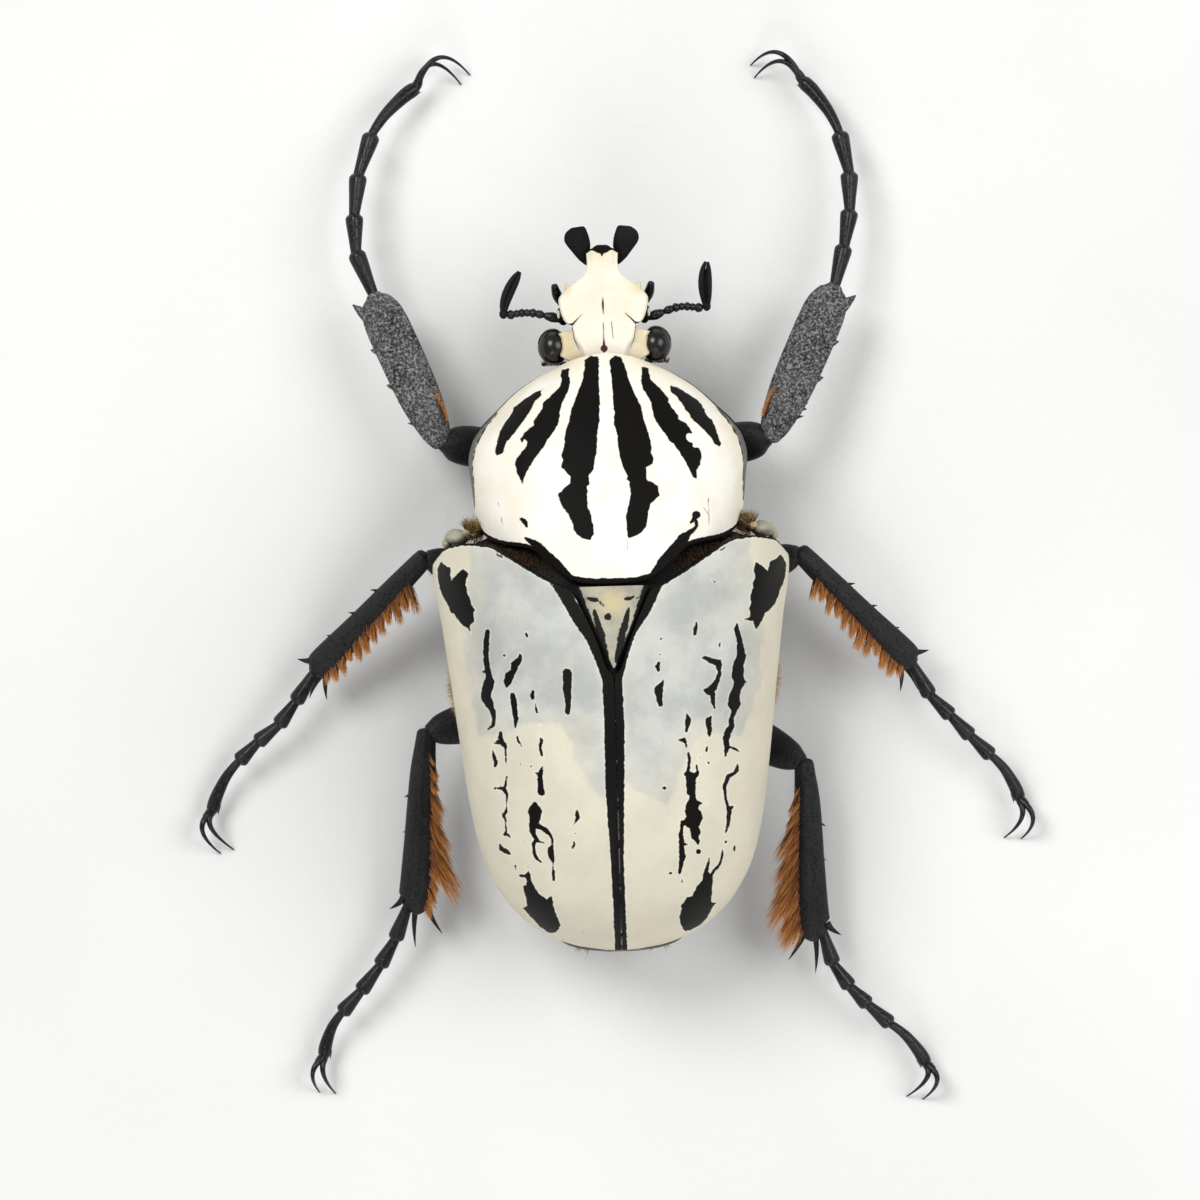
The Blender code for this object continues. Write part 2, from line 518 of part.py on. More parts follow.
def head_ring(y, columns=8):
    """A section of the head: the plate on top with its thin edge, the rounded case below."""
    half, case, low = (profile(s)(y) for s in (HEAD_HALF_WIDTH, HEAD_CAPSULE_WIDTH, HEAD_UNDERSIDE))
    edge = head_top(y, half)
    case = min(case, half)
    ring = []
    for k in range(2 * columns + 1):
        x = half * math.cos(math.pi * k / (2 * columns))
        fall = 0.35 if k in (0, 2 * columns) else 0.0
        ring.append(Vector((x, y, head_top(y, x) - fall)))
    for k in range(1, 2 * columns):
        x = -0.97 * half * math.cos(math.pi * k / (2 * columns))
        bulge = max(0.0, 1 - (x / case) ** 2) ** 0.5
        ring.append(Vector((x, y, edge - HEAD_RIM - (edge - HEAD_RIM - low) * bulge)))
    return ring


def build_head():
    """The head in one loft, from the front edge to the neck, with a socket for each eye."""
    sockets = [ball((side * EYE_CENTRE.x, EYE_CENTRE.y, EYE_CENTRE.z), [r + GAP for r in EYE_RADII])
               for side in SIDES.values()]
    return piece("head", "ivory", loft([head_ring(y) for y, _ in HEAD_HALF_WIDTH]), cut=sockets)


def build_eye(name, side):
    """A globe that sits in its socket at the side of the head."""
    centre = (side * EYE_CENTRE.x, EYE_CENTRE.y, EYE_CENTRE.z)
    return piece(name, "eye", ball(centre, EYE_RADII, rows=9, count=14))


def build_horn(name, side):
    """A flat lobe that flares from the front corner of the head."""
    rings = []
    for inner_x, inner_y, outer_x, outer_y, z, thick in HORN_RINGS:
        inner, outer = Vector((side * inner_x, inner_y, z)), Vector((side * outer_x, outer_y, z))
        across = outer - inner
        way = UP.cross(across.normalized()) * -side + UP * HORN_RISE
        rings.append(oval((inner + outer) / 2, way, across.length / 2, thick, count=10, side=across))
    return piece(name, "black_horn", loft(rings))


def tube(points, radii, count=8, flat=1.0):
    """A closed tube through points, one radius for each, flat ends, its height flat times its width."""
    points = [Vector(p) for p in points]
    rings = []
    for i, (p, r) in enumerate(zip(points, radii)):
        way = points[min(i + 1, len(points) - 1)] - points[max(i - 1, 0)]
        rings.append(oval(p, way, r, r * flat, count))
    return loft(rings)


def build_antenna(name, side):
    """Scape and small beads of a feeler, from the side of the head outwards."""
    path = [(side * x, y, ANTENNA_HEIGHT) for x, y in ANTENNA_PATHS[side]]
    return piece(name, "black_horn", tube(path, ANTENNA_RADII))


def build_antenna_club(name, side):
    """Three flat leaves side by side, bowed a little apart between their root and their tip."""
    path = [Vector((side * x, y, ANTENNA_HEIGHT)) for x, y in CLUB_PATHS[side]]
    last = len(path) - 1
    stem = ball(path[0], (0.5, 0.6, 0.6), rows=5, count=8)
    leaves = []
    for number in (-1, 0, 1):
        rings = []
        for i, (middle, (half, high)) in enumerate(zip(path, CLUB_LEAF)):
            way = path[min(i + 1, last)] - path[max(i - 1, 0)]
            across = way.cross(UP).normalized()
            bow = CLUB_BOW[side] * math.sin(math.pi * (CLUB_ROOT_SHARE + CLUB_SPREAD_SHARE * i / last))
            rings.append(oval(middle + across * (bow * number), way, half, high, count=6))
        leaves.append(loft(rings))
    return piece(name, "black_horn", stem, joined=leaves)


def build_palp(name, side):
    """A mouth feeler whose tip shows beside the head."""
    return piece(name, "black_horn", tube([(side * x, y, z) for x, y, z in PALP_PATH], PALP_RADII, 7))


def build_mouthparts():
    """Chin plate with the brush of the upper jaws in front of it."""
    rings = []
    for y, half, thick in MOUTH_RINGS:
        top = profile(HEAD_UNDERSIDE)(y) - GAP
        rings.append(oval((0, y, top - thick), (0, 1, 0), half, thick, count=10))
    return piece("mouthparts", "black_horn", loft(rings))


def leg_points(leg):
    """Joint places of a leg in space, hip first."""
    return [Vector((x, y, z)) for (x, y), z in zip(LEG_PLANS[leg], LEG_HEIGHTS[leg.split("_")[0]])]


def joint_normal(before, here, after):
    """The way a limb runs through a joint: half way between the segments that meet there."""
    return ((here - before).normalized() + (after - here).normalized()).normalized()


def segment(start, end, start_normal, end_normal, start_size, end_size, stations, count=8, bow=None):
    """Rings of one limb segment, held half a gap short of the joint planes at both ends."""
    way = end - start
    rings = [oval(start + start_normal * (GAP / 2), start_normal, *start_size, count)]
    for share, half_width, half_height in stations:
        centre = start + way * share + (bow(share) if bow else Vector())
        rings.append(oval(centre, way, half_width, half_height, count))
    rings.append(oval(end - end_normal * (GAP / 2), end_normal, *end_size, count))
    return rings


def build_coxa(leg):
    """The hip: a stout piece that turns from the flat of the belly to the thigh."""
    kind, side = leg.split("_")
    side = SIDES[side]
    hip, knee = leg_points(leg)[:2]
    out = (knee - hip).normalized()
    x, y = COXA_ROOTS[kind]
    root = Vector((side * x, y, BELLY - GAP))
    across, along = COXA_RADII[kind]
    hip_normal = (out + Vector((side, 0, -0.4)).normalized()).normalized()
    rings = []
    for share, sag, normal, wide, long in COXA_TURNS:
        centre = root.lerp(hip, share) - UP * sag
        normal = (side * normal[0], 0.0, normal[1])
        rings.append(oval(centre, normal, along * long, across * wide, 10, side=(0, -side, 0)))
    rings.append(oval(hip - hip_normal * (GAP / 2), hip_normal, *HIP, 10, side=(0, -side, 0)))
    return piece("coxa_" + leg, "black_horn", loft(rings)), hip_normal


def build_femur(leg, hip_normal):
    """The thigh, deepest before its middle."""
    hip, knee, ankle = leg_points(leg)[:3]
    knee_normal = joint_normal(hip, knee, ankle)
    rings = segment(hip, knee, hip_normal, knee_normal, HIP, KNEE, FEMORA[leg.split("_")[0]], 10)
    return piece("femur_" + leg, "black_horn", loft(rings))


def spike(root, tip, radius, count=5):
    """A tapered spine with its root set back into what carries it."""
    root, tip = Vector(root), Vector(tip)
    way = tip - root
    rings = [oval(root + way * share, way, radius * thin, radius * thin, count)
             for share, thin in ((0.0, 1.0), (0.6, 0.7))]
    return loft(rings, end=tip)


def lock(root, way, length, half_width, bend):
    """A flat, tapered lock of stiff hair that bends towards its tip."""
    side = way.cross(UP).normalized()
    rings = []
    for share, wide, thick in ((0.0, 1.0, 0.3), (0.45, 0.85, 0.26), (0.8, 0.45, 0.2)):
        centre = root + way * (length * share) + bend * (share * share)
        rings.append([centre + side * (half_width * wide * a) + UP * (thick * b)
                      for a, b in ((1, 0), (0, 1), (-1, 0), (0, -1))])
    return loft(rings, end=root + way * length + bend)


def shin_frame(leg):
    """The shin's way along, its way to the inner edge, and how far it bows that way."""
    kind = leg.split("_")[0]
    knee, ankle = leg_points(leg)[1:3]
    along = (ankle - knee).normalized()
    inner = along.cross(UP).normalized()
    if inner.dot(Vector((-knee.x, 20.0 if kind == "mid" else 0.0, 0.0))) < 0:
        inner = -inner
    bow = profile(SHIN_BOW_SHARE)
    return along, inner, lambda share: inner * (SHIN_BOW.get(leg, 0.0) * bow(share))


def fringe(leg):
    """The comb of locks along the inner edge of a middle or hind shin."""
    kind = leg.split("_")[0]
    knee, ankle = leg_points(leg)[1:3]
    along, inner, bow = shin_frame(leg)
    stations, lean = FRINGES[leg]
    reach = profile(stations)
    (first, _), (last, _) = stations[0], stations[-1]
    half = profile([(s, w) for s, w, _ in TIBIAE[kind]])
    shapes = []
    for i in range(FRINGE_LOCKS):
        share = first + (last - first) * i / (FRINGE_LOCKS - 1)
        way = inner + along * lean
        root = knee.lerp(ankle, share) + bow(share) + inner * (half(share) - 0.9) - along * (0.9 * lean)
        length = way.length * (0.9 + reach(share) * (1.0 + 0.1 * math.sin(2.4 * i)))
        bend = along * 0.3 + UP * (0.12 * math.cos(1.7 * i))
        shapes.append(lock(root, way.normalized(), length, 1.0, bend))
    return shapes


def build_tibia(leg):
    """The shin with its end spurs, and with the hair comb on the middle and hind legs."""
    kind = leg.split("_")[0]
    hip, knee, ankle, toe = leg_points(leg)[:4]
    knee_normal, ankle_normal = joint_normal(hip, knee, ankle), joint_normal(knee, ankle, toe)
    way, inner, bow = shin_frame(leg)
    rings = segment(knee, ankle, knee_normal, ankle_normal, KNEE, ANKLE, TIBIAE[kind], 10, bow)
    if kind == "fore":
        outer = way.cross(UP).normalized()
        outer *= 1 if outer.x * ankle.x > 0 else -1
        length = (ankle - knee).length
        extra = [spike(ankle - way * 2.2 + outer * 1.2, ankle + outer * 2.6, 0.9, 6)]
        for share in (0.42, 0.66):
            root = knee + way * (length * share)
            extra.append(spike(root + outer * 1.3, root + way * 0.8 + outer * 3.0, 0.6))
    else:
        extra = fringe(leg)
        for off, out, past, drop, radius in SPURS[kind]:
            tip = ankle + inner * out + way * past - UP * drop
            extra.append(spike(ankle - way + inner * off - UP * (drop * 0.4), tip, radius))
    return piece("tibia_" + leg, "black_horn", loft(rings), joined=extra)


def build_tarsus(leg):
    """Five foot segments in a row, each narrow at its root and wide at its end."""
    points = leg_points(leg)
    claw_turn = Vector((*CLAW_PLANS[leg][0], 1.6))
    joints = points[2:] + [claw_turn]
    ankle_normal = joint_normal(points[1], *joints[:2])
    rings = [oval(joints[0] + ankle_normal * (GAP / 2), ankle_normal, *ANKLE, 8)]
    for i in range(5):
        start, end = joints[i], joints[i + 1]
        way = end - start
        outward = way.cross(UP).normalized()
        outward *= CLAW_SEGMENT_BOW if outward.x * points[-1].x > 0 else -CLAW_SEGMENT_BOW
        for share, half, sag in TARSOMERE:
            if i == 0 and share == 0.0:
                continue
            slim = TARSUS_STOUTNESS[leg.split("_")[0]] * (LAST_SEGMENT_SLIMNESS if i == 4 else 1.0)
            bow = outward * (4 * share * (1 - share)) if i == 4 else Vector()
            rings.append(oval(start + way * share - UP * sag + bow, way, half * slim, half * slim, 8))
    end_normal = joint_normal(joints[4], joints[5], joints[6])
    rings.append(oval(joints[5] - end_normal * (GAP / 2), end_normal, *CLAW_ROOT, 8))
    return piece("tarsus_" + leg, "black_horn", loft(rings)), end_normal


def claw(root, turn, tip, radius, count=6):
    """A hook that tapers along a smooth bend and ends in a small flat on the floor."""
    rings = []
    for s in (0.0, 0.25, 0.5, 0.75, 0.92, 1.0):
        centre = root * (1 - s) ** 2 + turn * (2 * s * (1 - s)) + tip * s * s
        way = (turn - root) * (1 - s) + (tip - turn) * s
        thick = radius * (1 - 0.55 * s)
        ring = oval(centre, way, thick * 0.9, thick, count)
        rings.append([Vector((p.x, p.y, max(p.z, 0.0))) for p in ring])
    return loft(rings)


def build_claws(leg, normal):
    """The pair of hooks at the end of a foot, on their common root."""
    root = leg_points(leg)[-1] + normal * (GAP / 2)
    turn, tip, off = CLAW_PLANS[leg]
    high = root.z + 0.9
    turn, tip, off = Vector((*turn, high)), Vector((*tip, 0.12)), Vector((*off, 0.0))
    past = turn + (turn - (root + tip) / 2) * 0.75
    base = [oval(root, normal, *CLAW_ROOT, 8), oval(root + normal * 0.5, normal, 0.62, 0.6, 8),
            oval(root + normal * 1.2, normal, 0.5, 0.5, 8)]
    hooks = [claw(root + normal * 0.8 + off * s * 0.2, past + off * s * 0.8, tip + off * s, CLAW_RADIUS)
             for s in (0.0, 1.0)]
    return piece("claws_" + leg, "black_horn", loft(base), joined=hooks)


def clear_scene():
    for old in list(bpy.data.objects):
        bpy.data.objects.remove(old)


def main():
    build_prothorax()
    build_thorax()
    build_abdomen()
    build_pygidium()
    build_scutellum()
    build_head()
    build_mouthparts()
    for word, side in SIDES.items():
        build_elytron("elytron_" + word, side)
        build_mesepimeron("mesepimeron_" + word, side)
        build_eye("eye_" + word, side)
        build_horn("horn_" + word, side)
        build_antenna("antenna_" + word, side)
        build_antenna_club("antenna_club_" + word, side)
        build_palp("palp_" + word, side)
    for leg in LEG_PLANS:
        _, hip_normal = build_coxa(leg)
        build_femur(leg, hip_normal)
        build_tibia(leg)
        _, claw_normal = build_tarsus(leg)
        build_claws(leg, claw_normal)


clear_scene()
BEETLE = bpy.data.objects.new("beetle", None)
bpy.context.scene.collection.objects.link(BEETLE)
main()
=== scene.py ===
"""Goliath beetle, male, as a life-size museum model: patterned plates, legs, feelers and combs of hair.

Lengths in the tables are in millimetres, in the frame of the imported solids: the head points towards -Y,
the animal's left is at +X and the floor is at z = 0.
"""

import math

import bpy
import numpy as np
from bpy.props import FloatProperty, FloatVectorProperty, IntProperty, PointerProperty
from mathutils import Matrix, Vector


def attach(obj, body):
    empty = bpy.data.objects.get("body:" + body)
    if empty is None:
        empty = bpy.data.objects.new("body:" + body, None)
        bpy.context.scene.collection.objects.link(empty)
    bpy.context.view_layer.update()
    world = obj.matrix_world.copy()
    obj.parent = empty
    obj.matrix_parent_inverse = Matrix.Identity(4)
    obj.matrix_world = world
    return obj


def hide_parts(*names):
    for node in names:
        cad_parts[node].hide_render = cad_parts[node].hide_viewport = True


bl_info = {
    "name": "Goliath Beetle Model",
    "version": (1, 0, 0),
    "blender": (4, 5, 0),
    "location": "View3D > Sidebar > Beetle",
    "description": "Builds the plates, legs, hair and studio of a life-size goliath beetle model",
    "category": "Add Mesh",
}

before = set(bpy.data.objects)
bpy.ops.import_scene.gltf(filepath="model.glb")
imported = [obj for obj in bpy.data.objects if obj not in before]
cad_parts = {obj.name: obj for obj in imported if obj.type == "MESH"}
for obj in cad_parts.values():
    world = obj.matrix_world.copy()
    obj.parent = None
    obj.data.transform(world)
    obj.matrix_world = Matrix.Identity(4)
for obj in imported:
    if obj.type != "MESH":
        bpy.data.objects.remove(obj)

MM = 0.001
FAR = 9.0  # a depth beyond every mark
TINY = 1e-9
SIDES = {"left": 1.0, "right": -1.0}
UP = np.array([0.0, 0.0, 1.0])
LEGS = [f"{pair}_{side}" for pair in ("fore", "mid", "hind") for side in SIDES]

# Wing cases: stations are (y, value), and the front edge is (share of half width, y).
CASE_HALF_WIDTH = [(-5.0, 20.1), (-1.7, 20.9), (5.0, 20.0), (13.0, 19.0), (22.0, 17.9), (28.0, 17.0),
                   (33.0, 15.7), (37.0, 13.6), (39.5, 11.4), (41.5, 8.5), (42.8, 5.2), (43.3, 2.2)]
CASE_CREST = [(-5.0, 28.4), (0.0, 29.5), (5.0, 30.3), (10.0, 30.9), (16.0, 31.2), (22.0, 30.6), (28.0, 29.0),
              (33.0, 26.6), (37.0, 23.8), (40.0, 20.9), (43.3, 16.8)]
CASE_MARGIN = [(-5.0, 17.0), (-1.5, 15.4), (5.0, 14.4), (15.0, 13.9), (30.0, 13.8), (43.3, 13.9)]
CASE_FRONT = [(0.0, 11.2), (0.04, 10.2), (0.09, 7.3), (0.17, 3.4), (0.22, 1.3), (0.30, 0.4), (0.40, -0.8),
              (0.60, -3.4), (0.70, -4.4), (0.83, -4.7), (0.94, -4.3), (1.0, -2.6)]
CASE_END = 43.3
CASE_THICKNESS = 0.55
CASE_BULGE = (2.5, 2.0)
CASE_SWELLS = [(17.2, 1.6, 3.2, 0.45), (9.4, 36.6, 3.0, 0.45)]  # x, y, reach and height
CASE_RIDGE = (0.7, 0.7, 0.22)  # x, reach and height of the ridge beside the middle seam
CASE_RIPPLE = 0.035
CASE_SEAM = 0.08  # half the gap between the wing cases
CASE_LINES = (0.55, 0.25)  # widths of the black lines along margin and front edge

# Back plate: u runs from the front edge (0) to the rear edge (1), t from the midline (0) to the side (1).
BACK_HALF_WIDTH = [(0.0, 5.5), (0.05, 7.35), (0.17, 10.6), (0.30, 13.0), (0.40, 14.75), (0.50, 15.9),
                   (0.62, 16.35), (0.76, 16.1), (0.9, 15.85), (1.0, 15.6)]
BACK_CREST = [(0.0, 19.6), (0.12, 22.0), (0.3, 25.0), (0.5, 27.3), (0.75, 29.1), (0.9, 29.5), (1.0, 29.3)]
BACK_MARGIN = [(0.0, 15.6), (0.25, 15.0), (0.6, 14.6), (0.85, 15.2), (1.0, 16.0)]
BACK_FRONT = [(0.0, -26.5), (0.5, -26.1), (1.0, -25.2)]
BACK_REAR = [(0.0, 0.3), (0.16, 0.2), (0.31, -0.3), (0.46, -2.2), (0.60, -3.9), (0.8, -4.5), (0.93, -5.5),
             (1.0, -7.6)]
BREAST_DEPTH = [(0.0, 11.4), (0.25, 8.0), (0.45, 6.2), (0.8, 6.4), (1.0, 8.2)]
BREAST_FRONT = [(0.0, -24.2), (1.0, -25.2)]
BREAST_REAR = [(0.0, -7.9), (1.0, -8.2)]
BACK_BULGE, BREAST_BULGE = (2.3, 2.0), (1.9, 1.9)
BACK_POINTS = (260, 60)  # points of a ring above and below
BACK_RIM = (-14.4, 5.6, 0.45)  # grey side rim: middle y, half length, width
BACK_EDGE = [(-25.2, 15.6), (-20.0, 15.0), (-13.0, 14.6), (-9.0, 15.2), (-8.2, 16.0)]  # y and height
BACK_LINES = (0.6, 0.45)  # widths of the black lines along sides and rear edge
NECK_FRONT, NECK_REAR = (-24.6, 15.6), (-7.5, 18.0)  # plane and middle height of the openings
FRONT_RINGS = [(0.92, 0.88, 1.0), (0.93, 0.90, 0.1), (0.985, 0.98, -0.02)]  # width, height, way in
REAR_RINGS = [(0.985, 0.985, -0.03), (0.94, 0.92, 0.1), (0.72, 0.62, 1.0)]

# Body under the wing cases.
BELLY = 7.6
WAIST = 12.15
CASE_LINING = 1.35  # how far the body stays under the wing cases
THORAX_HALF_WIDTH = [(-7.2, 9.8), (-6.3, 12.0), (-5.3, 14.4), (-4.3, 16.8), (-3.0, 18.4), (-1.5, 19.2),
                     (0.0, 99.0)]
THORAX_CREST = [(-7.2, 23.0), (-4.0, 25.6), (-1.0, 27.2), (1.0, 28.2), (1.5, 99.0)]
BODY_UNDERSIDE = [(-7.2, 9.4), (-5.5, 7.4), (-4.0, 6.4), (17.0, 6.2), (24.0, 7.6), (32.0, 8.3), (38.0, 9.4),
                  (41.2, 10.8)]
BODY_FLANK = [(-7.2, 1.7), (18.0, 1.7), (26.0, 2.1), (41.0, 2.3)]
SHOULDER_LUMPS = [((17.95, -5.5, 17.0), (1.45, 0.92, 2.7), 0.1), ((16.1, -5.9, 17.6), (1.3, 0.7, 2.4), 1.0),
                  ((19.1, -4.75, 15.9), (0.6, 0.6, 1.6), 0.25)]  # centre, radii and how stained
SCUTELLUM = (0.75, 10.3, 4.3)  # front and tip y, half width
BELLY_SEAMS = [16.6, 21.4, 26.0, 30.6, 35.4]
ABDOMEN_END = 41.2
TAIL_RINGS = [(0.0, 0.86), (0.4, 1.0), (1.3, 0.86), (1.9, 0.6), (2.2, 0.3)]
TAIL_SIZE = (7.4, 1.45, 12.05)  # half width, half height, middle

# Head: half width, top line and underside by y, and the raised plate between the eyes.
HEAD_HALF_WIDTH = [(-39.35, 0.55), (-39.2, 0.85), (-38.95, 1.15), (-38.8, 1.65), (-38.6, 1.88), (-37.3, 1.8),
                   (-36.3, 1.92), (-35.7, 2.3), (-35.3, 2.85), (-34.95, 3.25), (-34.6, 3.75), (-34.3, 4.3),
                   (-33.8, 4.72), (-32.9, 5.25), (-31.8, 5.1), (-30.6, 4.7), (-30.1, 4.3), (-29.9, 3.75),
                   (-29.4, 3.8), (-28.98, 5.36), (-28.4, 5.05), (-27.4, 5.0), (-26.4, 5.2), (-26.0, 4.7),
                   (-25.6, 4.2), (-24.9, 4.1)]
HEAD_TOP = [(-39.5, 14.5), (-39.0, 15.2), (-38.4, 15.5), (-37.5, 15.7), (-35.0, 16.6), (-31.0, 17.9),
            (-28.0, 18.6), (-26.5, 18.6), (-24.9, 18.2)]
HEAD_PLATE = [(-30.2, 4.6), (-29.4, 3.8), (-28.4, 3.5), (-27.0, 2.7), (-25.5, 2.3)]
HEAD_PLATE_STEP = 0.6
HEAD_CROWN, HEAD_RIM = 0.5, 0.8
HEAD_CASE = [(-39.5, 0.8), (-38.0, 1.0), (-37.0, 1.3), (-35.0, 3.0), (-32.0, 4.2), (-30.5, 4.6), (-29.0, 4.7),
             (-24.9, 4.4)]
HEAD_UNDERSIDE = [(-39.5, 13.6), (-38.0, 12.9), (-36.0, 11.9), (-32.0, 10.7), (-28.0, 10.6), (-24.9, 12.2)]
HEAD_FORMS = [  # height, reach from the midline (none: the rims), where it fades behind and in front
    (0.3, None, (35.6, 37.5), (-39.3, -38.3)), (-0.12, 0.8, (35.6, 37.5), (-99.0, -98.0)),
    (0.14, None, (30.4, 31.2), (-35.6, -34.8)), (0.2, 1.3, (29.0, 31.5), (-35.5, -33.5)),
]
HEAD_LINES = [  # ends, depth and half width of the creases and grooves
    ((3.72, -29.95), (2.52, -31.15), 0.15, 0.12), ((-3.72, -29.95), (-2.52, -31.15), 0.15, 0.12),
    ((0.06, -33.2), (0.06, -31.0), 0.16, 0.14), ((0.07, -29.8), (0.07, -26.9), 0.16, 0.14),
]
HEAD_SPUR = ((4.1, -34.15, 16.35), (4.42, -34.98, 16.35), 0.34)  # root, tip and radius of a front corner
CHEEK = ((4.75, -31.2, 14.9), (0.75, 1.2, 0.8))
CHEEK_SPOT = ((5.27, -31.27, 15.55), (0.2, 0.5, 0.22))
MOUTH_RINGS = [(-27.6, 1.9, 0.4), (-29.0, 2.5, 0.5), (-32.0, 2.6, 0.5), (-34.0, 1.9, 0.5), (-36.0, 1.0, 0.4)]
HORN_RINGS = [  # inner x and y, outer x and y, height of the middle, half thickness
    (1.75, -37.3, 2.05, -37.1, 13.9, 0.35), (1.6, -38.2, 2.75, -37.7, 14.0, 0.46),
    (1.35, -39.0, 3.5, -38.6, 14.5, 0.48), (1.35, -39.7, 4.25, -39.6, 15.1, 0.42),
    (1.5, -40.4, 4.38, -40.2, 15.6, 0.34), (1.7, -40.95, 4.2, -40.75, 16.0, 0.25),
    (1.85, -41.3, 3.85, -41.1, 16.25, 0.16), (2.05, -41.5, 3.45, -41.35, 16.4, 0.08),
]
HORN_RISE = 0.55
EYE_CENTRE = np.array([6.0, -27.5, 15.3])
EYE_RADII = np.array([1.85, 2.05, 2.3])

# Feelers from above: the root, the beads outwards and the root of the club.
FEELER_HEIGHT = 14.9
FEELER_PATHS = {
    "left": [(4.5, -30.5), (6.0, -31.0), (7.0, -31.25), (7.9, -31.5), (8.6, -31.6), (9.25, -31.6),
             (9.85, -31.6), (10.45, -31.5), (11.2, -31.4)],
    "right": [(4.5, -30.5), (6.1, -30.95), (7.1, -31.3), (8.1, -31.65), (8.8, -31.8), (9.45, -31.85),
              (10.1, -31.8), (10.7, -31.7), (11.5, -31.6)],
}
CLUB_PATHS = {
    "left": [(11.75, -31.55), (11.6, -32.6), (11.2, -33.8), (10.65, -34.9), (10.15, -35.75), (9.75, -36.4)],
    "right": [(12.1, -31.8), (12.05, -32.8), (12.0, -34.0), (12.03, -35.2), (12.13, -36.2), (12.25, -36.95)],
}
CLUB_BOW = {"left": 0.3, "right": 0.42}
FEELER_BEADS = [0.5, 0.54, 0.46, 0.52, 0.46, 0.56]
CLUB_LEAVES = [(-1, 1.0), (0, 0.86), (1, 1.0)]  # side and size of each leaf
CLUB_LEAF = [(0.24, 0.5), (0.34, 0.78), (0.4, 0.88), (0.38, 0.84), (0.3, 0.66), (0.16, 0.36)]
PALP_PATH = [(2.9, -31.3, 10.2), (3.8, -31.9, 10.5), (4.8, -32.7, 11.1), (5.4, -33.7, 11.8),
             (5.7, -34.8, 12.4)]
PALP_RADII = [0.34, 0.5, 0.5, 0.6, 0.4]

# Legs from above: hip, knee, ankle, the ends of the five foot segments; then the claws' bend, tip, set-off.
LEG_PLANS = {
    "fore_left": [(9.0, -15.2), (19.6, -16.7), (27.1, -34.4), (29.1, -39.6), (29.2, -44.0), (28.6, -48.8),
                  (26.9, -53.6), (21.5, -59.2)],
    "fore_right": [(-9.0, -15.2), (-19.2, -16.3), (-27.4, -33.9), (-28.7, -38.7), (-29.5, -42.9),
                   (-29.6, -47.4), (-28.6, -52.2), (-24.4, -58.7)],
    "mid_left": [(9.0, 1.6), (21.9, -3.3), (35.4, 9.8), (37.8, 13.3), (39.9, 16.0), (42.5, 18.0),
                 (44.8, 20.2), (48.2, 26.1)],
    "mid_right": [(-9.0, 1.6), (-22.4, -2.6), (-35.3, 10.8), (-37.4, 14.7), (-39.8, 17.2), (-42.1, 19.7),
                  (-44.5, 22.1), (-47.8, 27.4)],
    "hind_left": [(9.0, 14.8), (22.3, 17.4), (25.2, 37.9), (26.8, 41.8), (28.7, 44.9), (31.1, 47.9),
                  (33.4, 50.4), (35.7, 55.6)],
    "hind_right": [(-9.0, 14.8), (-22.1, 22.2), (-23.9, 42.4), (-25.0, 46.2), (-26.9, 49.0), (-29.0, 51.2),
                   (-31.6, 53.6), (-35.8, 58.6)],
}
LEG_HEIGHTS = {
    "fore": [5.4, 9.6, 7.0, 6.4, 6.0, 5.4, 4.6, 2.9],
    "mid": [5.2, 10.4, 5.4, 4.9, 4.4, 3.9, 3.4, 2.2],
    "hind": [5.2, 9.6, 5.4, 4.9, 4.4, 3.9, 3.4, 2.2],
}
CLAW_PLANS = {
    "fore_left": ((18.6, -62.9), (15.1, -60.7), (1.1, 1.1)),
    "fore_right": ((-21.6, -62.3), (-18.4, -60.9), (-0.4, 1.5)),
    "mid_left": ((49.5, 28.4), (47.5, 31.2), (-1.6, -0.4)),
    "mid_right": ((-49.4, 29.8), (-48.0, 32.2), (2.0, -0.2)),
    "hind_left": ((37.2, 57.6), (36.5, 60.0), (-1.9, 0.2)),
    "hind_right": ((-37.1, 60.6), (-35.4, 62.9), (1.9, -0.4)),
}
COXA_ROOTS = {"fore": (5.2, -14.6, 2.9, 2.6), "mid": (4.6, 2.4, 2.7, 2.6), "hind": (4.6, 14.2, 2.9, 3.4)}
HIP, KNEE, ANKLE = (1.5, 1.3), (1.1, 1.1), (0.62, 0.6)  # half width and half height of the leg there
FEMORA = {  # share along, half width, half height
    "fore": [(0.14, 2.0, 1.5), (0.4, 2.3, 1.65), (0.7, 2.4, 1.6), (0.88, 2.0, 1.4)],
    "mid": [(0.14, 2.0, 1.5), (0.4, 2.3, 1.65), (0.7, 2.1, 1.55), (0.88, 1.7, 1.35)],
    "hind": [(0.14, 2.1, 1.5), (0.4, 2.5, 1.65), (0.7, 2.3, 1.55), (0.88, 1.8, 1.35)],
}
TIBIAE = {
    "fore": [(0.09, 1.7, 1.1), (0.3, 2.3, 1.2), (0.6, 2.45, 1.15), (0.85, 2.35, 1.1), (0.96, 1.7, 0.95)],
    "mid": [(0.08, 1.2, 1.1), (0.3, 1.35, 1.25), (0.6, 1.5, 1.3), (0.88, 1.75, 1.35), (0.97, 1.6, 1.2)],
    "hind": [(0.07, 1.2, 1.1), (0.25, 1.5, 1.3), (0.6, 1.8, 1.4), (0.88, 1.98, 1.45), (0.97, 1.8, 1.3)],
}
TIBIAE_WHOLE = {kind: [(0.0, *KNEE), *shin, (1.0, ANKLE[0] * 1.5, ANKLE[1] * 1.5)]
                for kind, shin in TIBIAE.items()}
SHIN_BOW = {"hind_left": 0.85, "hind_right": 1.1}  # how far the lower shin lies in from the straight line
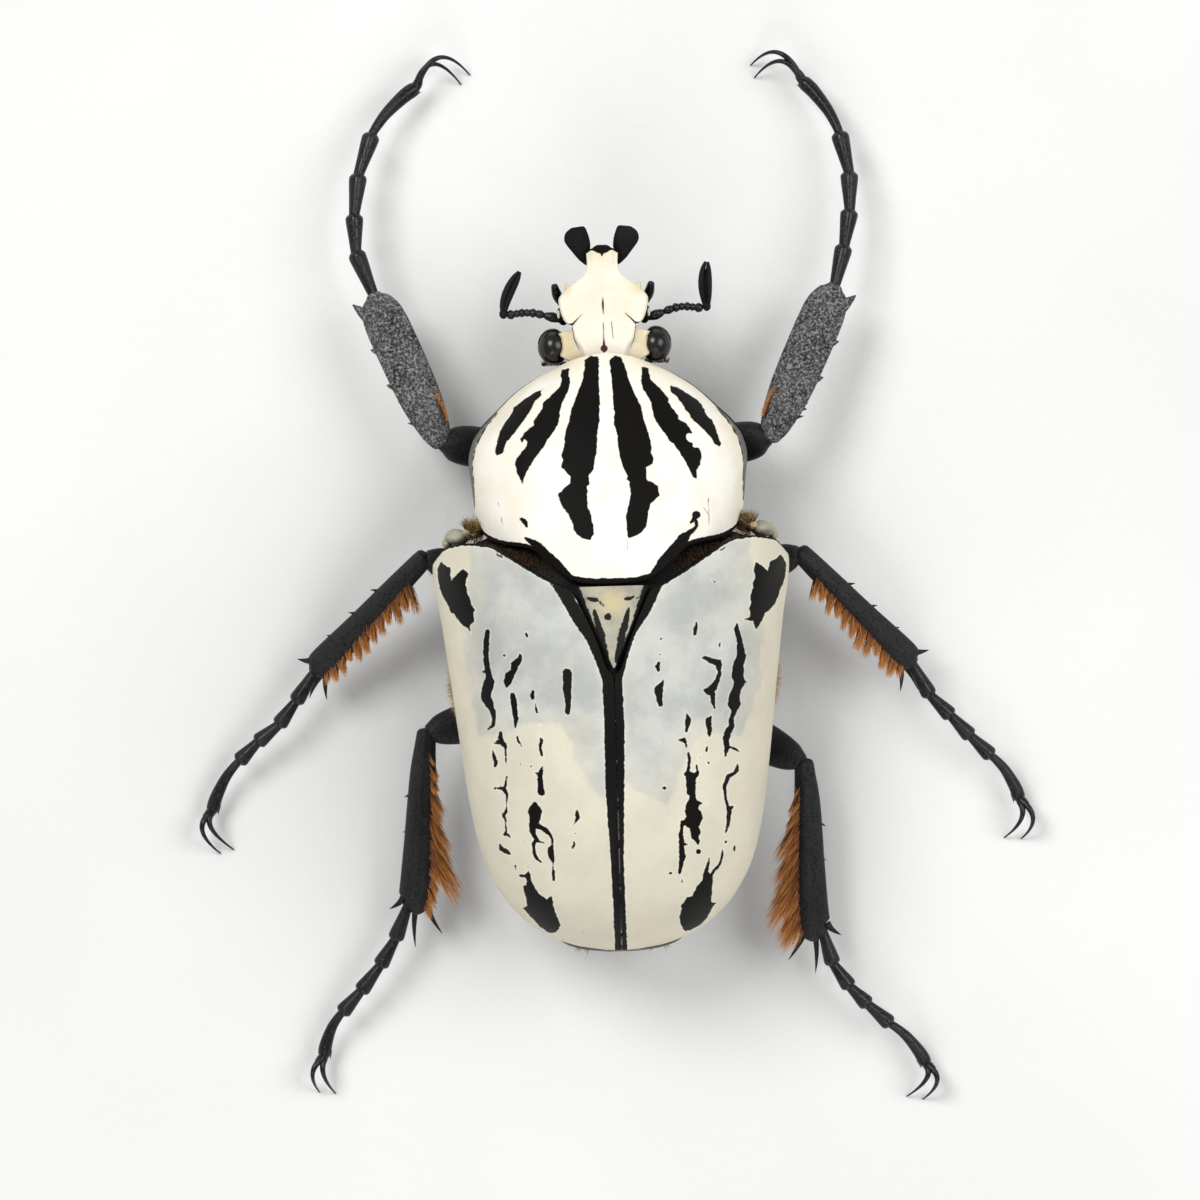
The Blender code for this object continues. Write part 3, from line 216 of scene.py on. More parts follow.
SHIN_BOW_SHARE = [(0.05, 0.0), (0.3, 0.18), (0.55, 0.6), (0.8, 0.95), (0.93, 1.0), (1.0, 0.4)]
# A foot segment: share along it and half width.
TARSOMERE = [(0.0, 0.52), (0.15, 0.58), (0.4, 0.68), (0.75, 0.84), (0.93, 0.88), (1.0, 0.72)]
TEETH = (0.42, 0.66)  # places of the two teeth above the end tooth of a fore shin
EDGE_SPINES = (0.18, 0.94, 0.045)  # first, last and spacing along a fore shin
GRANULES = 140  # small grains on the upper side of a fore shin
SHIN_SPINES = (0.35, 0.55, 0.75)  # places along the outer edge of a middle or hind shin
FOOT_STOUTNESS = {"fore": 1.1, "mid": 1.0, "hind": 1.0}
CLAW_SEGMENT_BOW, CLAW_SEGMENT_STOUTNESS = 0.5, 0.84
FOOT_SAG = 0.15
CLAW_BEND_RISE, CLAW_TIP_HEIGHT, CLAW_THICKNESS, CLAW_TAPER = 0.9, 0.14, 0.47, 0.78
FRINGES = {  # hair comb: (share along the shin, how far a lock stands off it), lean towards the foot
    "mid_left": ([(0.2, 3.3), (0.34, 2.5), (0.5, 2.1), (0.7, 1.7), (0.93, 1.6)], 0.5),
    "mid_right": ([(0.2, 2.2), (0.5, 2.3), (0.8, 2.0), (0.93, 2.1)], 0.5),
    "hind_left": ([(0.12, 0.5), (0.28, 1.5), (0.43, 2.7), (0.54, 3.6), (0.68, 3.9), (0.76, 2.0), (0.85, 0.9),
                   (0.95, 1.4)], 1.3),
    "hind_right": ([(0.14, 0.7), (0.24, 2.3), (0.35, 3.8), (0.6, 4.1), (0.73, 3.8), (0.93, 2.9)], 1.25),
}
COMB_UPPER = 0.45  # share of the hairs on the shin's upper side, and how much longer they are
COMB_LOOSE, COMB_STRAY = 0.15, 0.05  # shares of short hairs, and of hairs outside the locks
COMB_PULL = 0.95  # how far a hair bends to the middle of its lock
SPURS = {  # root off the shin's axis, tip off the axis, tip past the ankle, drop, radius; inwards is positive
    "mid": [(1.0, 3.3, 1.5, 0.6, 0.42), (0.8, 1.7, 2.9, 1.2, 0.4), (-1.0, -2.5, 0.4, 0.0, 0.5)],
    "hind": [(1.8, 4.4, 2.9, 0.6, 0.42), (1.0, 1.4, 4.9, 1.3, 0.42), (-0.6, -2.1, 0.6, 0.0, 0.45)],
}

# Black marks on the plates, seen from above: outlines as (x, y), and streaks as (x, y, half width).
BACK_STRIPES = [
    [(1.6, -26.2), (2.4, -25.7), (2.4, -24.9), (2.7, -23.3), (3.5, -21.3), (4.1, -19.8), (4.4, -18.5),
     (4.8, -17.5), (5, -15.9), (5.4, -14.6), (5.2, -14), (5.5, -13.1), (5, -12.8), (4.4, -12),
     (4.4, -11.3), (5.1, -10.9), (5.9, -10), (5.5, -8.6), (4.8, -7.8), (4.3, -6.6), (4.2, -5.9),
     (3.8, -5.2), (3, -4.8), (2.3, -4.6), (1.9, -5.4), (1.9, -6.1), (2.1, -7.4), (2.5, -8.6), (2.5, -10),
     (2.5, -10.9), (2.2, -11.1), (2.3, -12.1), (1.7, -12.8), (1.4, -14.2), (1.2, -15.9), (1.1, -17.4),
     (0.8, -18.5), (0.9, -19.2), (0.7, -20.8), (0.8, -22.1), (0.8, -23.3), (0.7, -25.7), (0.9, -26.1)],
    [(-1.2, -26.2), (-0.5, -25.6), (-0.6, -24.1), (-0.7, -23.3), (-0.8, -21.3), (-0.9, -19.6),
     (-0.8, -18), (-1.1, -17.1), (-1.2, -15.6), (-1.4, -14.2), (-1.7, -13), (-2.2, -11.9), (-2, -11.6),
     (-2.4, -11.3), (-2.5, -10), (-2.3, -8.7), (-1.9, -7.4), (-1.9, -6.2), (-2, -4.8), (-2.6, -4.8),
     (-3.7, -5.4), (-4.2, -6), (-4.5, -7.7), (-4.7, -8.5), (-5.8, -9.6), (-5.7, -10.7), (-5, -11.2),
     (-4.4, -11.3), (-4.4, -12.9), (-5.2, -13.3), (-5.3, -14), (-5, -14.5), (-5.1, -15.1), (-4.8, -16.9),
     (-4.3, -18.4), (-4, -20), (-3.4, -21.4), (-2.7, -23.2), (-2.2, -25.2), (-1.9, -25.9)],
    [(5.1, -24.7), (5.2, -23.9), (5.1, -23.4), (5.4, -22.6), (7.4, -20.7), (7.4, -20.3), (8.5, -18.6),
     (8.5, -18.2), (9.7, -17.3), (10.1, -16.6), (9.9, -16.2), (9.6, -16.6), (9.3, -16.3), (9.4, -15.8),
     (10.6, -14.4), (10.8, -13.8), (10.6, -12.7), (10.2, -11.9), (10, -11.3), (9.7, -12.2), (9.1, -13.4),
     (8.2, -14.7), (7.5, -15.4), (6.9, -16.5), (6.2, -17.4), (5.6, -18.4), (5.4, -19.8), (5.1, -20.7),
     (4.4, -22.1), (4.1, -23.3), (4.3, -23.9), (4.2, -24.8)],
    [(-4.3, -24.7), (-4.1, -23.1), (-4.3, -22.1), (-5.2, -20.5), (-5.5, -18.6), (-6.3, -17.3),
     (-7.2, -15.9), (-7.7, -15.5), (-8.2, -14.7), (-9.1, -13.2), (-9.8, -11.5), (-10.2, -11.4),
     (-10.2, -12.4), (-10.7, -13.1), (-10.9, -14.2), (-10.6, -15), (-9.9, -15.1), (-9.9, -15.6),
     (-9.4, -15.8), (-9.1, -16.4), (-9.3, -16.7), (-9.9, -16.8), (-9.5, -17.5), (-9.2, -18),
     (-8.3, -18.4), (-8.3, -18.8), (-7.2, -20.5), (-7.3, -20.9), (-6.5, -21.9), (-5.4, -23),
     (-5.2, -23.4), (-5, -24.6)],
    [(7.3, -22.5), (7.6, -22.1), (7.5, -21.7), (8.3, -21), (9, -19.7), (9.8, -18.6), (11.1, -17),
     (11.7, -16.4), (12.2, -15.1), (12.9, -14.8), (13.1, -15.2), (13, -15.8), (12.5, -17.6),
     (11.9, -18.7), (11.2, -19.5), (10.8, -20.4), (9.8, -21.2), (8.6, -21.9)],
    [(-7.5, -22.5), (-8.6, -22.1), (-10.8, -20.6), (-11.3, -19.8), (-11.7, -18.8), (-12.2, -18.4),
     (-12.5, -17.7), (-12.9, -16.3), (-13.2, -15.6), (-13.1, -15), (-12.4, -15.5), (-12, -16.3),
     (-10.8, -17.6), (-10.1, -18.2), (-9.5, -19.1), (-8.3, -21), (-7.5, -21.8)],
]
BACK_STREAKS = [
    [(10.2, -7.3, 0.22), (9.8, -6.9, 0.3), (9.6, -6.4, 0.15)],
    [(-10, -7.2, 0.49), (-9.8, -6.8, 0.27), (-9.4, -6.4, 0.22)],
    [(-10, -6.5, 0.17), (-10, -5.9, 0.25), (-9.6, -5.5, 0.2), (-9.2, -5.2, 0.3), (-8.5, -4.6, 0.59),
     (-7.8, -3.7, 0.64), (-6.3, -2.1, 0.7), (-5.1, -0.5, 0.59)],
    [(9.8, -5.1, 0.18), (8.5, -4.2, 0.47), (7.0, -2.5, 0.7), (5.3, -0.5, 0.7)],
]
CASE_PATCHES = [
    [(19.7, -2.6), (19.2, -2.1), (18.6, -1.9), (18.7, -1.1), (18.6, -0.4), (18, -1.1), (17.2, -1.8),
     (16.5, -1.1), (16.8, -0.6), (16.9, -0.1), (16.8, 0.9), (16.5, 1.6), (16.2, 2.7), (15.8, 3),
     (16.1, 3.4), (16, 4.3), (16.6, 4.8), (16.5, 5.8), (16.8, 5.2), (17.7, 4.6), (18.4, 3.4), (18.8, 3.3),
     (19.2, 2.3), (19.8, 1.2), (20.1, 0.2), (20.3, -1.7), (20, -2.5)],
    [(10.6, 33.5), (10.4, 33.9), (10.3, 34.8), (9.8, 35.7), (9.3, 36.4), (8.6, 36.9), (8, 36.5),
     (7.8, 37.8), (7.1, 40.1), (7.4, 40.7), (7.9, 41.1), (8.6, 41.1), (9.4, 40.4), (10.4, 39.3),
     (11.5, 38), (10.9, 37.8), (11.1, 36.3), (11.3, 35.3), (10.9, 35.2), (10.8, 34.7), (11, 34.3),
     (11.7, 34.3), (11.7, 34), (11.1, 34)],
    [(-19.9, -2.4), (-20.5, -1.4), (-20.3, 0), (-20.1, 0.8), (-19.6, 1.9), (-19.4, 2.6), (-19, 3.3),
     (-18.2, 4.1), (-17.7, 4.4), (-17.4, 5.2), (-16.6, 6.3), (-16.3, 5.2), (-15.7, 5.2), (-15.2, 5),
     (-15.9, 4.8), (-16, 4.5), (-15.8, 3.7), (-16.1, 3.1), (-16, 2.3), (-16.4, 1.4), (-16.4, 0.6),
     (-16.7, 0.2), (-16.5, -0.7), (-16.8, -1.6), (-17.7, -1), (-18.2, -0.5), (-18.5, -1.6), (-19.3, -1.9),
     (-19.6, -2.4)],
    [(-10.4, 32.3), (-10.2, 33.1), (-9.9, 33.7), (-9.7, 34.5), (-9.5, 35.3), (-8.9, 35.9), (-8.7, 36.4),
     (-8.3, 37), (-7.7, 37.1), (-7.4, 37.7), (-7, 38.1), (-7.1, 38.5), (-6.8, 39.5), (-7, 40.6),
     (-7.4, 41.3), (-8.1, 41.3), (-9.1, 40.8), (-10, 39.9), (-10.6, 38.8), (-11.2, 38), (-10.5, 37.9),
     (-10.7, 36.9), (-10.7, 36), (-10.8, 35.3), (-10.8, 34.7), (-10.5, 34.6), (-10.3, 34.1),
     (-10.5, 33.3)],
]
CASE_BANDS = [
    [(1.4, 10.7), (1.3, 17.4), (1.4, 23.9), (1.0, 32.4), (0.8, 42.1), (0.8, 44.5), (-0.7, 44.5),
     (-0.6, 42.1), (-0.5, 32.4), (-0.8, 24.0), (-1.0, 17.4), (-0.9, 10.7)],
    [(7.0, 0.4), (6.2, 1.6), (5.1, 3.7), (4.1, 5.4), (3.2, 6.7), (2.4, 8.6), (1.4, 11.5), (0.1, 11.5),
     (1.2, 8.6), (2.0, 6.7), (2.5, 5.5), (3.4, 3.7), (4.6, 1.6), (5.2, 0.4)],
    [(-4.9, -0.1), (-4.3, 1.0), (-3.1, 3.5), (-2.1, 5.6), (-1.6, 6.5), (-0.6, 8.7), (0.4, 11.5),
     (-0.9, 11.5), (-1.7, 8.7), (-2.5, 6.5), (-3.1, 5.6), (-4.5, 3.6), (-5.7, 1.1), (-6.5, -0.0)],
]
CASE_STREAKS = [
    [(13.1, -3.3, 0.12), (12.5, -2.9, 0.12)],
    [(-12.6, -3, 0.13), (-13.2, -3.3, 0.13)],
    [(-11.6, 0.4, 0.07), (-12, 0.6, 0.07)],
    [(14.5, 5.6, 0.28), (14.7, 6.9, 0.36), (14.8, 8.3, 0.31), (14.7, 9.6, 0.34), (14.5, 10.8, 0.37),
     (14.5, 11.5, 0.63), (14.8, 12.5, 0.63), (15, 13.2, 0.57), (14.6, 13.9, 0.54), (14.3, 14.5, 0.36),
     (14.1, 15.2, 0.28), (14.1, 15.9, 0.27), (14.2, 16.5, 0.21), (14.8, 16.9, 0.1)],
    [(14.7, 10.2, 0.3), (15.3, 10.2, 0.07)],
    [(10.8, 8.4, 0.19), (10.9, 8.9, 0.33), (11.4, 9.5, 0.45), (11.6, 10.2, 0.33), (12.1, 10.8, 0.54),
     (12.3, 11.4, 0.45), (12.5, 12.1, 0.09)],
    [(11.5, 9.4, 0.27), (11.9, 9.2, 0.06)],
    [(12.6, 8.4, 0.19)],
    [(10, 5.9, 0.15), (9.9, 6.3, 0.15)],
    [(11.8, 13, 0.3), (11.7, 13.6, 0.4), (11.6, 14.7, 0.33), (11.5, 15.7, 0.3), (11.6, 16.9, 0.07)],
    [(9.4, 12.6, 0.13), (9.5, 13.1, 0.3), (9.5, 13.4, 0.21)],
    [(9.2, 14.1, 0.06), (9.1, 14.7, 0.15), (9, 15.1, 0.13)],
    [(5.4, 10.6, 0.54), (5.4, 11.6, 0.49), (5.5, 12.4, 0.51), (5.4, 13.3, 0.37), (5.4, 14.4, 0.31),
     (5.5, 15.1, 0.33)],
    [(8.7, 16.5, 0.1)],
    [(8.7, 18, 0.13), (8.6, 18.3, 0.21), (8.8, 19.2, 0.15), (8.7, 19.6, 0.18), (8.6, 20, 0.21)],
    [(11.4, 17.8, 0.1), (11.3, 18.3, 0.18), (10.9, 19, 0.06)],
    [(13.3, 17.4, 0.21), (13.4, 18, 0.3), (13.1, 18.6, 0.33), (12.8, 18.9, 0.18), (12.8, 19.8, 0.09),
     (12.8, 20.8, 0.09)],
    [(13.4, 18.3, 0.3), (14.3, 18.7, 0.07)],
    [(14.3, 19.4, 0.09), (14.2, 20.1, 0.21), (14, 20.7, 0.27), (14.1, 21.2, 0.21)],
    [(11.1, 21, 0.12)],
    [(9.9, 21.3, 0.13)],
    [(8.6, 21.4, 0.09), (8.8, 21.9, 0.24), (8.9, 22.8, 0.27), (8.9, 23.7, 0.36), (8.8, 24.3, 0.42)],
    [(9, 22.2, 0.21), (9.5, 22.1, 0.1)],
    [(12.8, 22.5, 0.13), (12.9, 23.2, 0.12), (13.1, 23.8, 0.24)],
    [(14.2, 23.8, 0.13), (13.4, 23.8, 0.16), (13, 24.1, 0.25), (12.8, 24.5, 0.2), (12.8, 24.9, 0.16),
     (12.9, 25.4, 0.06), (12.9, 26.1, 0.11), (13, 26.6, 0.18), (13.3, 27, 0.22), (13.1, 27.5, 0.09),
     (13.1, 28.2, 0.06), (13, 28.7, 0.11), (13.1, 29.1, 0.2)],
    [(13.2, 26.8, 0.16), (13.7, 26.8, 0.11)],
    [(13.1, 29.2, 0.18), (13.5, 29.3, 0.11)],
    [(13, 29.2, 0.16), (12.5, 29.6, 0.07)],
    [(13.8, 30.4, 0.11), (13.7, 30.9, 0.27), (13.2, 31.2, 0.29), (12.7, 31.5, 0.18)],
    [(12.1, 32.9, 0.11), (12.1, 33.4, 0.09)],
    [(9.6, 25.8, 0.34), (9.6, 26.5, 0.81), (9.6, 27.3, 0.65), (9.8, 27.9, 0.52), (10, 28.7, 0.38),
     (9.8, 29.3, 0.29), (9.5, 29.9, 0.25), (9.9, 30.3, 0.22), (9.9, 30.8, 0.18), (9.8, 31.5, 0.2),
     (9.6, 32, 0.2), (9.1, 32.5, 0.09)],
    [(9.4, 30.1, 0.13), (8.7, 30.2, 0.06)],
    [(9.4, 28.2, 0.34), (8.8, 28.5, 0.25), (8.3, 28.9, 0.29), (7.9, 29.3, 0.2), (7.7, 29.8, 0.16),
     (7.7, 30.4, 0.13), (7.9, 31, 0.34), (7.9, 31.7, 0.38), (7.7, 32.5, 0.13), (7.7, 33.3, 0.1),
     (7.7, 34, 0.22), (7.7, 34.6, 0.13)],
    [(4.8, 26.4, 0.11), (4.7, 27, 0.25), (4.7, 27.5, 0.25), (5, 27.9, 0.13), (5.3, 28.2, 0.07)],
    [(5, 29.2, 0.09)],
    [(5.2, 30.2, 0.09), (5.2, 30.6, 0.16), (5.4, 30.9, 0.11)],
    [(-9.6, 5.1, 0.09), (-9.7, 5.5, 0.13), (-9.5, 6, 0.24), (-9.4, 6.6, 0.15)],
    [(-5.5, 7, 0.12)],
    [(-5.4, 8.8, 0.1)],
    [(-5.2, 9.7, 0.15), (-5, 10.1, 0.27), (-5.1, 10.7, 0.13)],
    [(-5.7, 11.7, 0.06), (-5.4, 12.2, 0.27), (-5.1, 12.8, 0.51), (-5.1, 13.6, 0.39), (-5.2, 14.5, 0.3)],
    [(-12.3, 7.7, 0.15), (-12.3, 8.1, 0.13)],
    [(-10.2, 9.4, 0.12), (-10.6, 9.3, 0.24), (-11.2, 9.7, 0.3), (-12.1, 10, 0.36), (-12.1, 10.5, 0.3),
     (-12.2, 11.2, 0.21), (-11.8, 12.1, 0.3), (-11.4, 12.8, 0.45), (-10.8, 13.2, 0.39),
     (-10.3, 13, 0.12)],
    [(-12.1, 9.9, 0.3), (-12.4, 9.6, 0.06)],
    [(-11.3, 13.4, 0.33), (-11.3, 14.3, 0.27), (-11.5, 15.2, 0.1)],
    [(-14.4, 5.5, 0.12), (-14.3, 6.2, 0.3), (-14.6, 7.2, 0.33), (-14.7, 8.1, 0.39), (-14.8, 9.3, 0.54),
     (-14.4, 10.4, 0.66), (-14.3, 11.5, 0.72), (-14.5, 12.3, 0.66), (-14.2, 13, 0.51),
     (-13.8, 13.9, 0.63), (-13.8, 14.8, 0.75), (-13.7, 15.7, 0.3), (-13.4, 16.6, 0.3),
     (-13.4, 17.3, 0.36), (-12.9, 18.2, 0.42), (-12.7, 18.9, 0.39), (-12.8, 19.7, 0.33),
     (-12.6, 20.7, 0.12)],
    [(-14.9, 12.2, 0.3), (-15.4, 12.2, 0.06)],
    [(-13, 19.7, 0.21), (-13.8, 20, 0.13), (-14.2, 20.3, 0.15)],
    [(-8.2, 15.6, 0.07), (-8.4, 16.3, 0.33), (-8.3, 17, 0.3), (-8.1, 17.8, 0.13)],
    [(-7.2, 18.7, 0.07), (-7.8, 18.7, 0.27), (-8, 19, 0.21), (-8.1, 19.5, 0.09)],
    [(-11.1, 16, 0.07), (-10.7, 16.6, 0.36), (-10.8, 17.4, 0.3), (-10.8, 18.4, 0.18)],
    [(-10.5, 19.6, 0.07), (-10.4, 20.1, 0.18)],
    [(-9.7, 20.6, 0.07), (-9.4, 20.9, 0.09)],
    [(-10.6, 21.5, 0.16)],
    [(-8.3, 20.2, 0.1), (-8.4, 21, 0.18), (-8.3, 21.5, 0.13), (-8.2, 22.3, 0.21), (-8.1, 22.7, 0.36)],
    [(-9.2, 21.7, 0.07), (-9.3, 22.5, 0.21), (-9.1, 22.8, 0.33)],
    [(-8.5, 23.1, 0.63), (-8.5, 23.8, 0.57), (-8.5, 24.8, 0.51)],
    [(-8.5, 23.4, 0.52), (-8.5, 24.3, 0.51), (-8.6, 24.8, 0.36), (-8.7, 25.6, 0.45), (-8.6, 26.4, 0.74),
     (-8.5, 27, 0.81), (-8.9, 27.7, 0.85), (-8.6, 28.2, 0.94), (-8.7, 28.8, 0.49), (-8.9, 29.5, 0.58),
     (-8.8, 29.9, 0.49), (-9.1, 30.5, 0.27), (-9.2, 30.9, 0.11)],
    [(-9.1, 26.1, 0.34), (-9.7, 26.1, 0.07)],
    [(-8, 28.3, 0.45), (-7.4, 28.3, 0.29), (-7.3, 29, 0.2), (-7.2, 29.6, 0.25), (-7.2, 30.5, 0.34),
     (-7.2, 31.2, 0.29), (-7.3, 32.3, 0.38), (-7.2, 32.9, 0.29), (-7, 33.8, 0.22), (-6.9, 34.3, 0.1)],
    [(-7.3, 30.8, 0.22), (-7.9, 30.9, 0.1)],
    [(-10.3, 26.1, 0.13)],
    [(-9.2, 31.8, 0.29)],
    [(-5.9, 34.2, 0.18)],
    [(-7.2, 34.9, 0.08), (-7.2, 35.3, 0.08)],
    [(-14, 21.8, 0.09), (-13.9, 22.5, 0.27), (-13.5, 22.9, 0.21), (-12.9, 23.1, 0.27),
     (-12.6, 23.8, 0.24), (-12.4, 24.6, 0.18), (-12.5, 25.5, 0.18)],
    [(-12.7, 23.6, 0.25), (-12.4, 24.2, 0.22), (-12.4, 25, 0.16), (-12.5, 25.8, 0.13),
     (-12.7, 26.6, 0.18), (-12.9, 27.3, 0.29), (-12.8, 28.1, 0.25), (-12.7, 28.8, 0.16),
     (-12.5, 29.5, 0.13), (-12.3, 29.8, 0.07)],
    [(-13, 26.9, 0.25), (-13.5, 26.6, 0.07)],
    [(-12.4, 30.8, 0.16)],
    [(-13.4, 31.4, 0.11), (-13.4, 31.8, 0.13)],
    [(-12, 31.7, 0.07), (-12, 32.2, 0.16), (-11.8, 33, 0.13), (-11.6, 33.5, 0.16), (-11, 34, 0.18),
     (-10.6, 34.7, 0.18)],
    [(-5.4, 24.2, 0.21)],
]
COOL_ZONES = [
    [(15.6, -5.2), (7.0, -4.5), (4.4, 0.5), (1.2, 6.4), (-0.6, 11.5), (-0.4, 23.0), (1.2, 25.3),
     (3.1, 23.3), (4.4, 20.7), (4.8, 18.6), (6.3, 16.3), (10.8, 16.1), (13.4, 17.4), (15.6, 17.6),
     (16.6, 11.2), (17.2, 6.5), (16.7, 1.9)],
    [(-15.6, -5.0), (-7.0, -4.5), (-4.4, 0.5), (-1.2, 6.4), (0.6, 11.6), (0.6, 21.3), (-2.6, 24.5),
     (-5.5, 25.8), (-7.5, 21.9), (-8.2, 19.6), (-10.2, 17.8), (-14.3, 18.3), (-16.4, 14.4), (-17.2, 7.4),
     (-16.7, 1.6)],
]
SCUTELLUM_STREAKS = [
    [(2.2, 3.2, 0.09), (2, 3.9, 0.29), (1.7, 5.1, 0.38), (1.4, 6.3, 0.43), (1.2, 7.6, 0.45),
     (0.9, 9.2, 0.43)],
    [(-1.9, 3.3, 0.11), (-1.7, 4.1, 0.29), (-1.4, 5.2, 0.4), (-1, 6.4, 0.43), (-0.8, 7.5, 0.41),
     (-0.4, 9.3, 0.38)],
    [(2.8, 2, 0.13), (2.2, 2.3, 0.27), (1.7, 2.3, 0.2), (1.3, 2.7, 0.11), (0.9, 3.1, 0.07)],
    [(-1.4, 2.3, 0.09), (-1.8, 2.2, 0.22), (-2.2, 2.2, 0.2), (-2.5, 2, 0.07)],
    [(0.5, 4.3, 0.41)],
    [(-2.8, 2.2, 0.05), (-3.2, 2.2, 0.08)],
]
BACK_SCRATCHES = [
    [(-11.5, -9.1, 0.05), (-11.5, -6.1, 0.04)],
    [(-10.9, -8.1, 0.03), (-11.5, -7.1, 0.04)],
    [(-1.9, -4.7, 0.03), (-2.0, -1.7, 0.03)],
    [(12.6, -7.6, 0.05), (12.4, -6.6, 0.03)],
    [(12.9, -9.4, 0.03), (12.8, -8.9, 0.04)],
]
HEAD_STREAKS = [
    [(0.06, -33.1, 0.05), (0.06, -32.3, 0.13), (0.04, -31.1, 0.05)],
    [(0.07, -30.1, 0.05), (0.07, -28.3, 0.06), (0.07, -27.4, 0.16), (0.07, -27.05, 0.42), (0.07, -26.6, 0.1)],
    [(-0.87, -30.2, 0.05), (-0.95, -29.2, 0.06), (-1.02, -28.2, 0.05)],
]
HEAD_SIDE_STREAKS = [
    [(3.72, -29.95, 0.12), (3.1, -30.6, 0.07), (2.52, -31.15, 0.04)],
    [(3.72, -29.6, 0.06), (3.5, -28.2, 0.05), (3.0, -27.1, 0.04)],
]

# Tufts: number in each patch of pile, rings along the tuft, how thin it is at each, and how flat it is.
FLANK_TUFTS, TAIL_TUFTS, JOINT_TUFTS, NECK_TUFTS, BREAST_TUFTS = 1500, 90, 900, 160, 4200
SHOULDER_TUFTS = (260, 320)
TUFT_LEVELS, TUFT_TAPER = np.array([0.0, 0.4, 0.75, 1.0]), np.array([1.0, 0.85, 0.5, 0.1])
TUFT_FLATNESS = 0.6
TUFT_POINTS = 12

# Horn finishes: roughness, relief, density of pits, shine, pale specks (on the fore shins partly painted
# glints), and tones of ground, shade, wear.
HORN_TONES = ("horn", "horn_shade", "horn_wear")
HORNS = {
    "grained horn": (0.4, 0.14, 2.4, 0.25, 0.12, HORN_TONES),
    # Fore shins: the grey ground and the pale specks are partly their grain, partly painted glints of many
    # small highlights.
    "granular horn": (0.45, 0.3, 1.7, 0.3, 0.85, ("horn_wear", "horn_shade", "horn_dust_and_glint")),
    "smooth horn": (0.22, 0.05, 1.6, 0.35, 0.0, HORN_TONES),
    "matt horn": (0.5, 0.05, 3.6, 0.12, 0.1, HORN_TONES),
    "brown rim": (0.3, 0.03, 3.0, 0.3, 0.0, ("rim", "rim_shade", "horn_wear")),
}

# Studio, in metres: each lamp's name, place, size, and the setting of its power with its share.
LAMPS = [("key_lamp", (0.55, -0.55, 0.95), 0.6, "key", 1.0),
         ("fill_lamp", (-0.75, -0.2, 0.8), 0.8, "fill", 1.0),
         ("rear_lamp", (0.1, 0.9, 0.7), 0.7, "fill", 0.6)]
LAMP_TARGET = (0.0, 0.0, 0.015)
FLOOR_REACH, FLOOR_SHADE = 3.0, 0.93
CAMERA_SPOT, LEG_LEVEL, SENSOR = (0.00139, 0.00231), 0.014, 36.0


def profile(stations):
    """A smooth curve through (place, value) stations that doesn't overshoot them."""
    places, values = np.array(stations, float).T
    steps = np.diff(values) / np.diff(places)
    before, after = steps[:-1], steps[1:]
    level = before * after <= 0
    inner = np.where(level, 0.0, 2 * before * after / np.where(level, 1.0, before + after))
    slopes = np.concatenate((steps[:1], inner, steps[-1:]))

    def value(place):
        place = np.clip(place, places[0], places[-1])
        i = np.clip(np.searchsorted(places, place, side="right") - 1, 0, len(steps) - 1)
        h = places[i + 1] - places[i]
        s = (place - places[i]) / h
        start = values[i] * (1 + 2 * s) + slopes[i] * h * s
        end = values[i + 1] * (3 - 2 * s) - slopes[i + 1] * h * (1 - s)
        return start * (1 - s) ** 2 + end * s * s

    return value


def arch(t, bulge=CASE_BULGE):
    """Height share of a domed section at the share t of its half width."""
    return np.maximum(0.0, 1 - np.abs(t) ** bulge[0]) ** (1 / bulge[1])


def smooth(value, low, high):
    """0 below low, 1 above high and a soft step between them."""
    s = np.clip((value - low) / (high - low), 0.0, 1.0)
    return s * s * (3 - 2 * s)


def unit(vectors):
    """The vectors at length one."""
    vectors = np.asarray(vectors, float)
    return vectors / np.maximum(np.linalg.norm(vectors, axis=-1, keepdims=True), TINY)


def mirrored(place, side):
    """A place of the left side on either side."""
    return np.array(place) * (side, 1, 1)


def bump_at(x, y, centre_x, centre_y, reach):
    """A round swelling: 1 at its centre, 0 far off."""
    return np.exp(-((x - centre_x) ** 2 + (y - centre_y) ** 2) / reach ** 2)


def scatter(rng, count, lows, highs):
    """Random rows between the low and the high values."""
    return rng.uniform(lows, highs, (count, len(lows)))


def nearest(x, y, x0, y0, x1, y1):
    """Each point's share along a line between two ends, and its distance from the line."""
    length = max((x1 - x0) ** 2 + (y1 - y0) ** 2, TINY)
    s = np.clip(((x - x0) * (x1 - x0) + (y - y0) * (y1 - y0)) / length, 0, 1)
    return s, np.hypot(x - x0 - s * (x1 - x0), y - y0 - s * (y1 - y0))


def streak_depth(x, y, streaks):
    """How far each point lies inside tapered streaks, in millimetres; negative outside them."""
    depth = np.full(x.shape, -FAR)
    for streak in streaks:
        nodes = np.array(streak, float)
        if len(nodes) == 1:
            nodes = np.repeat(nodes, 2, 0)
        for (x0, y0, r0), (x1, y1, r1) in zip(nodes, nodes[1:]):
            s, far = nearest(x, y, x0, y0, x1, y1)
            depth = np.maximum(depth, r0 + (r1 - r0) * s - far)
    return depth


def outline_depth(x, y, outlines):
    """How far each point lies inside closed outlines, in millimetres; negative outside them."""
    depth = np.full(x.shape, -FAR)
    for outline in outlines:
        inside = np.zeros(x.shape, bool)
        far = np.full(x.shape, FAR)
        for (x0, y0), (x1, y1) in zip(outline, outline[1:] + outline[:1]):
            far = np.minimum(far, nearest(x, y, x0, y0, x1, y1)[1])
            if y0 != y1:
                inside ^= ((y0 > y) != (y1 > y)) & (x < x0 + (x1 - x0) * (y - y0) / (y1 - y0))
        depth = np.maximum(depth, np.where(inside, far, -far))
    return depth


def angles(count):
    """Even angles once round."""
    return 2 * np.pi * np.arange(count) / count


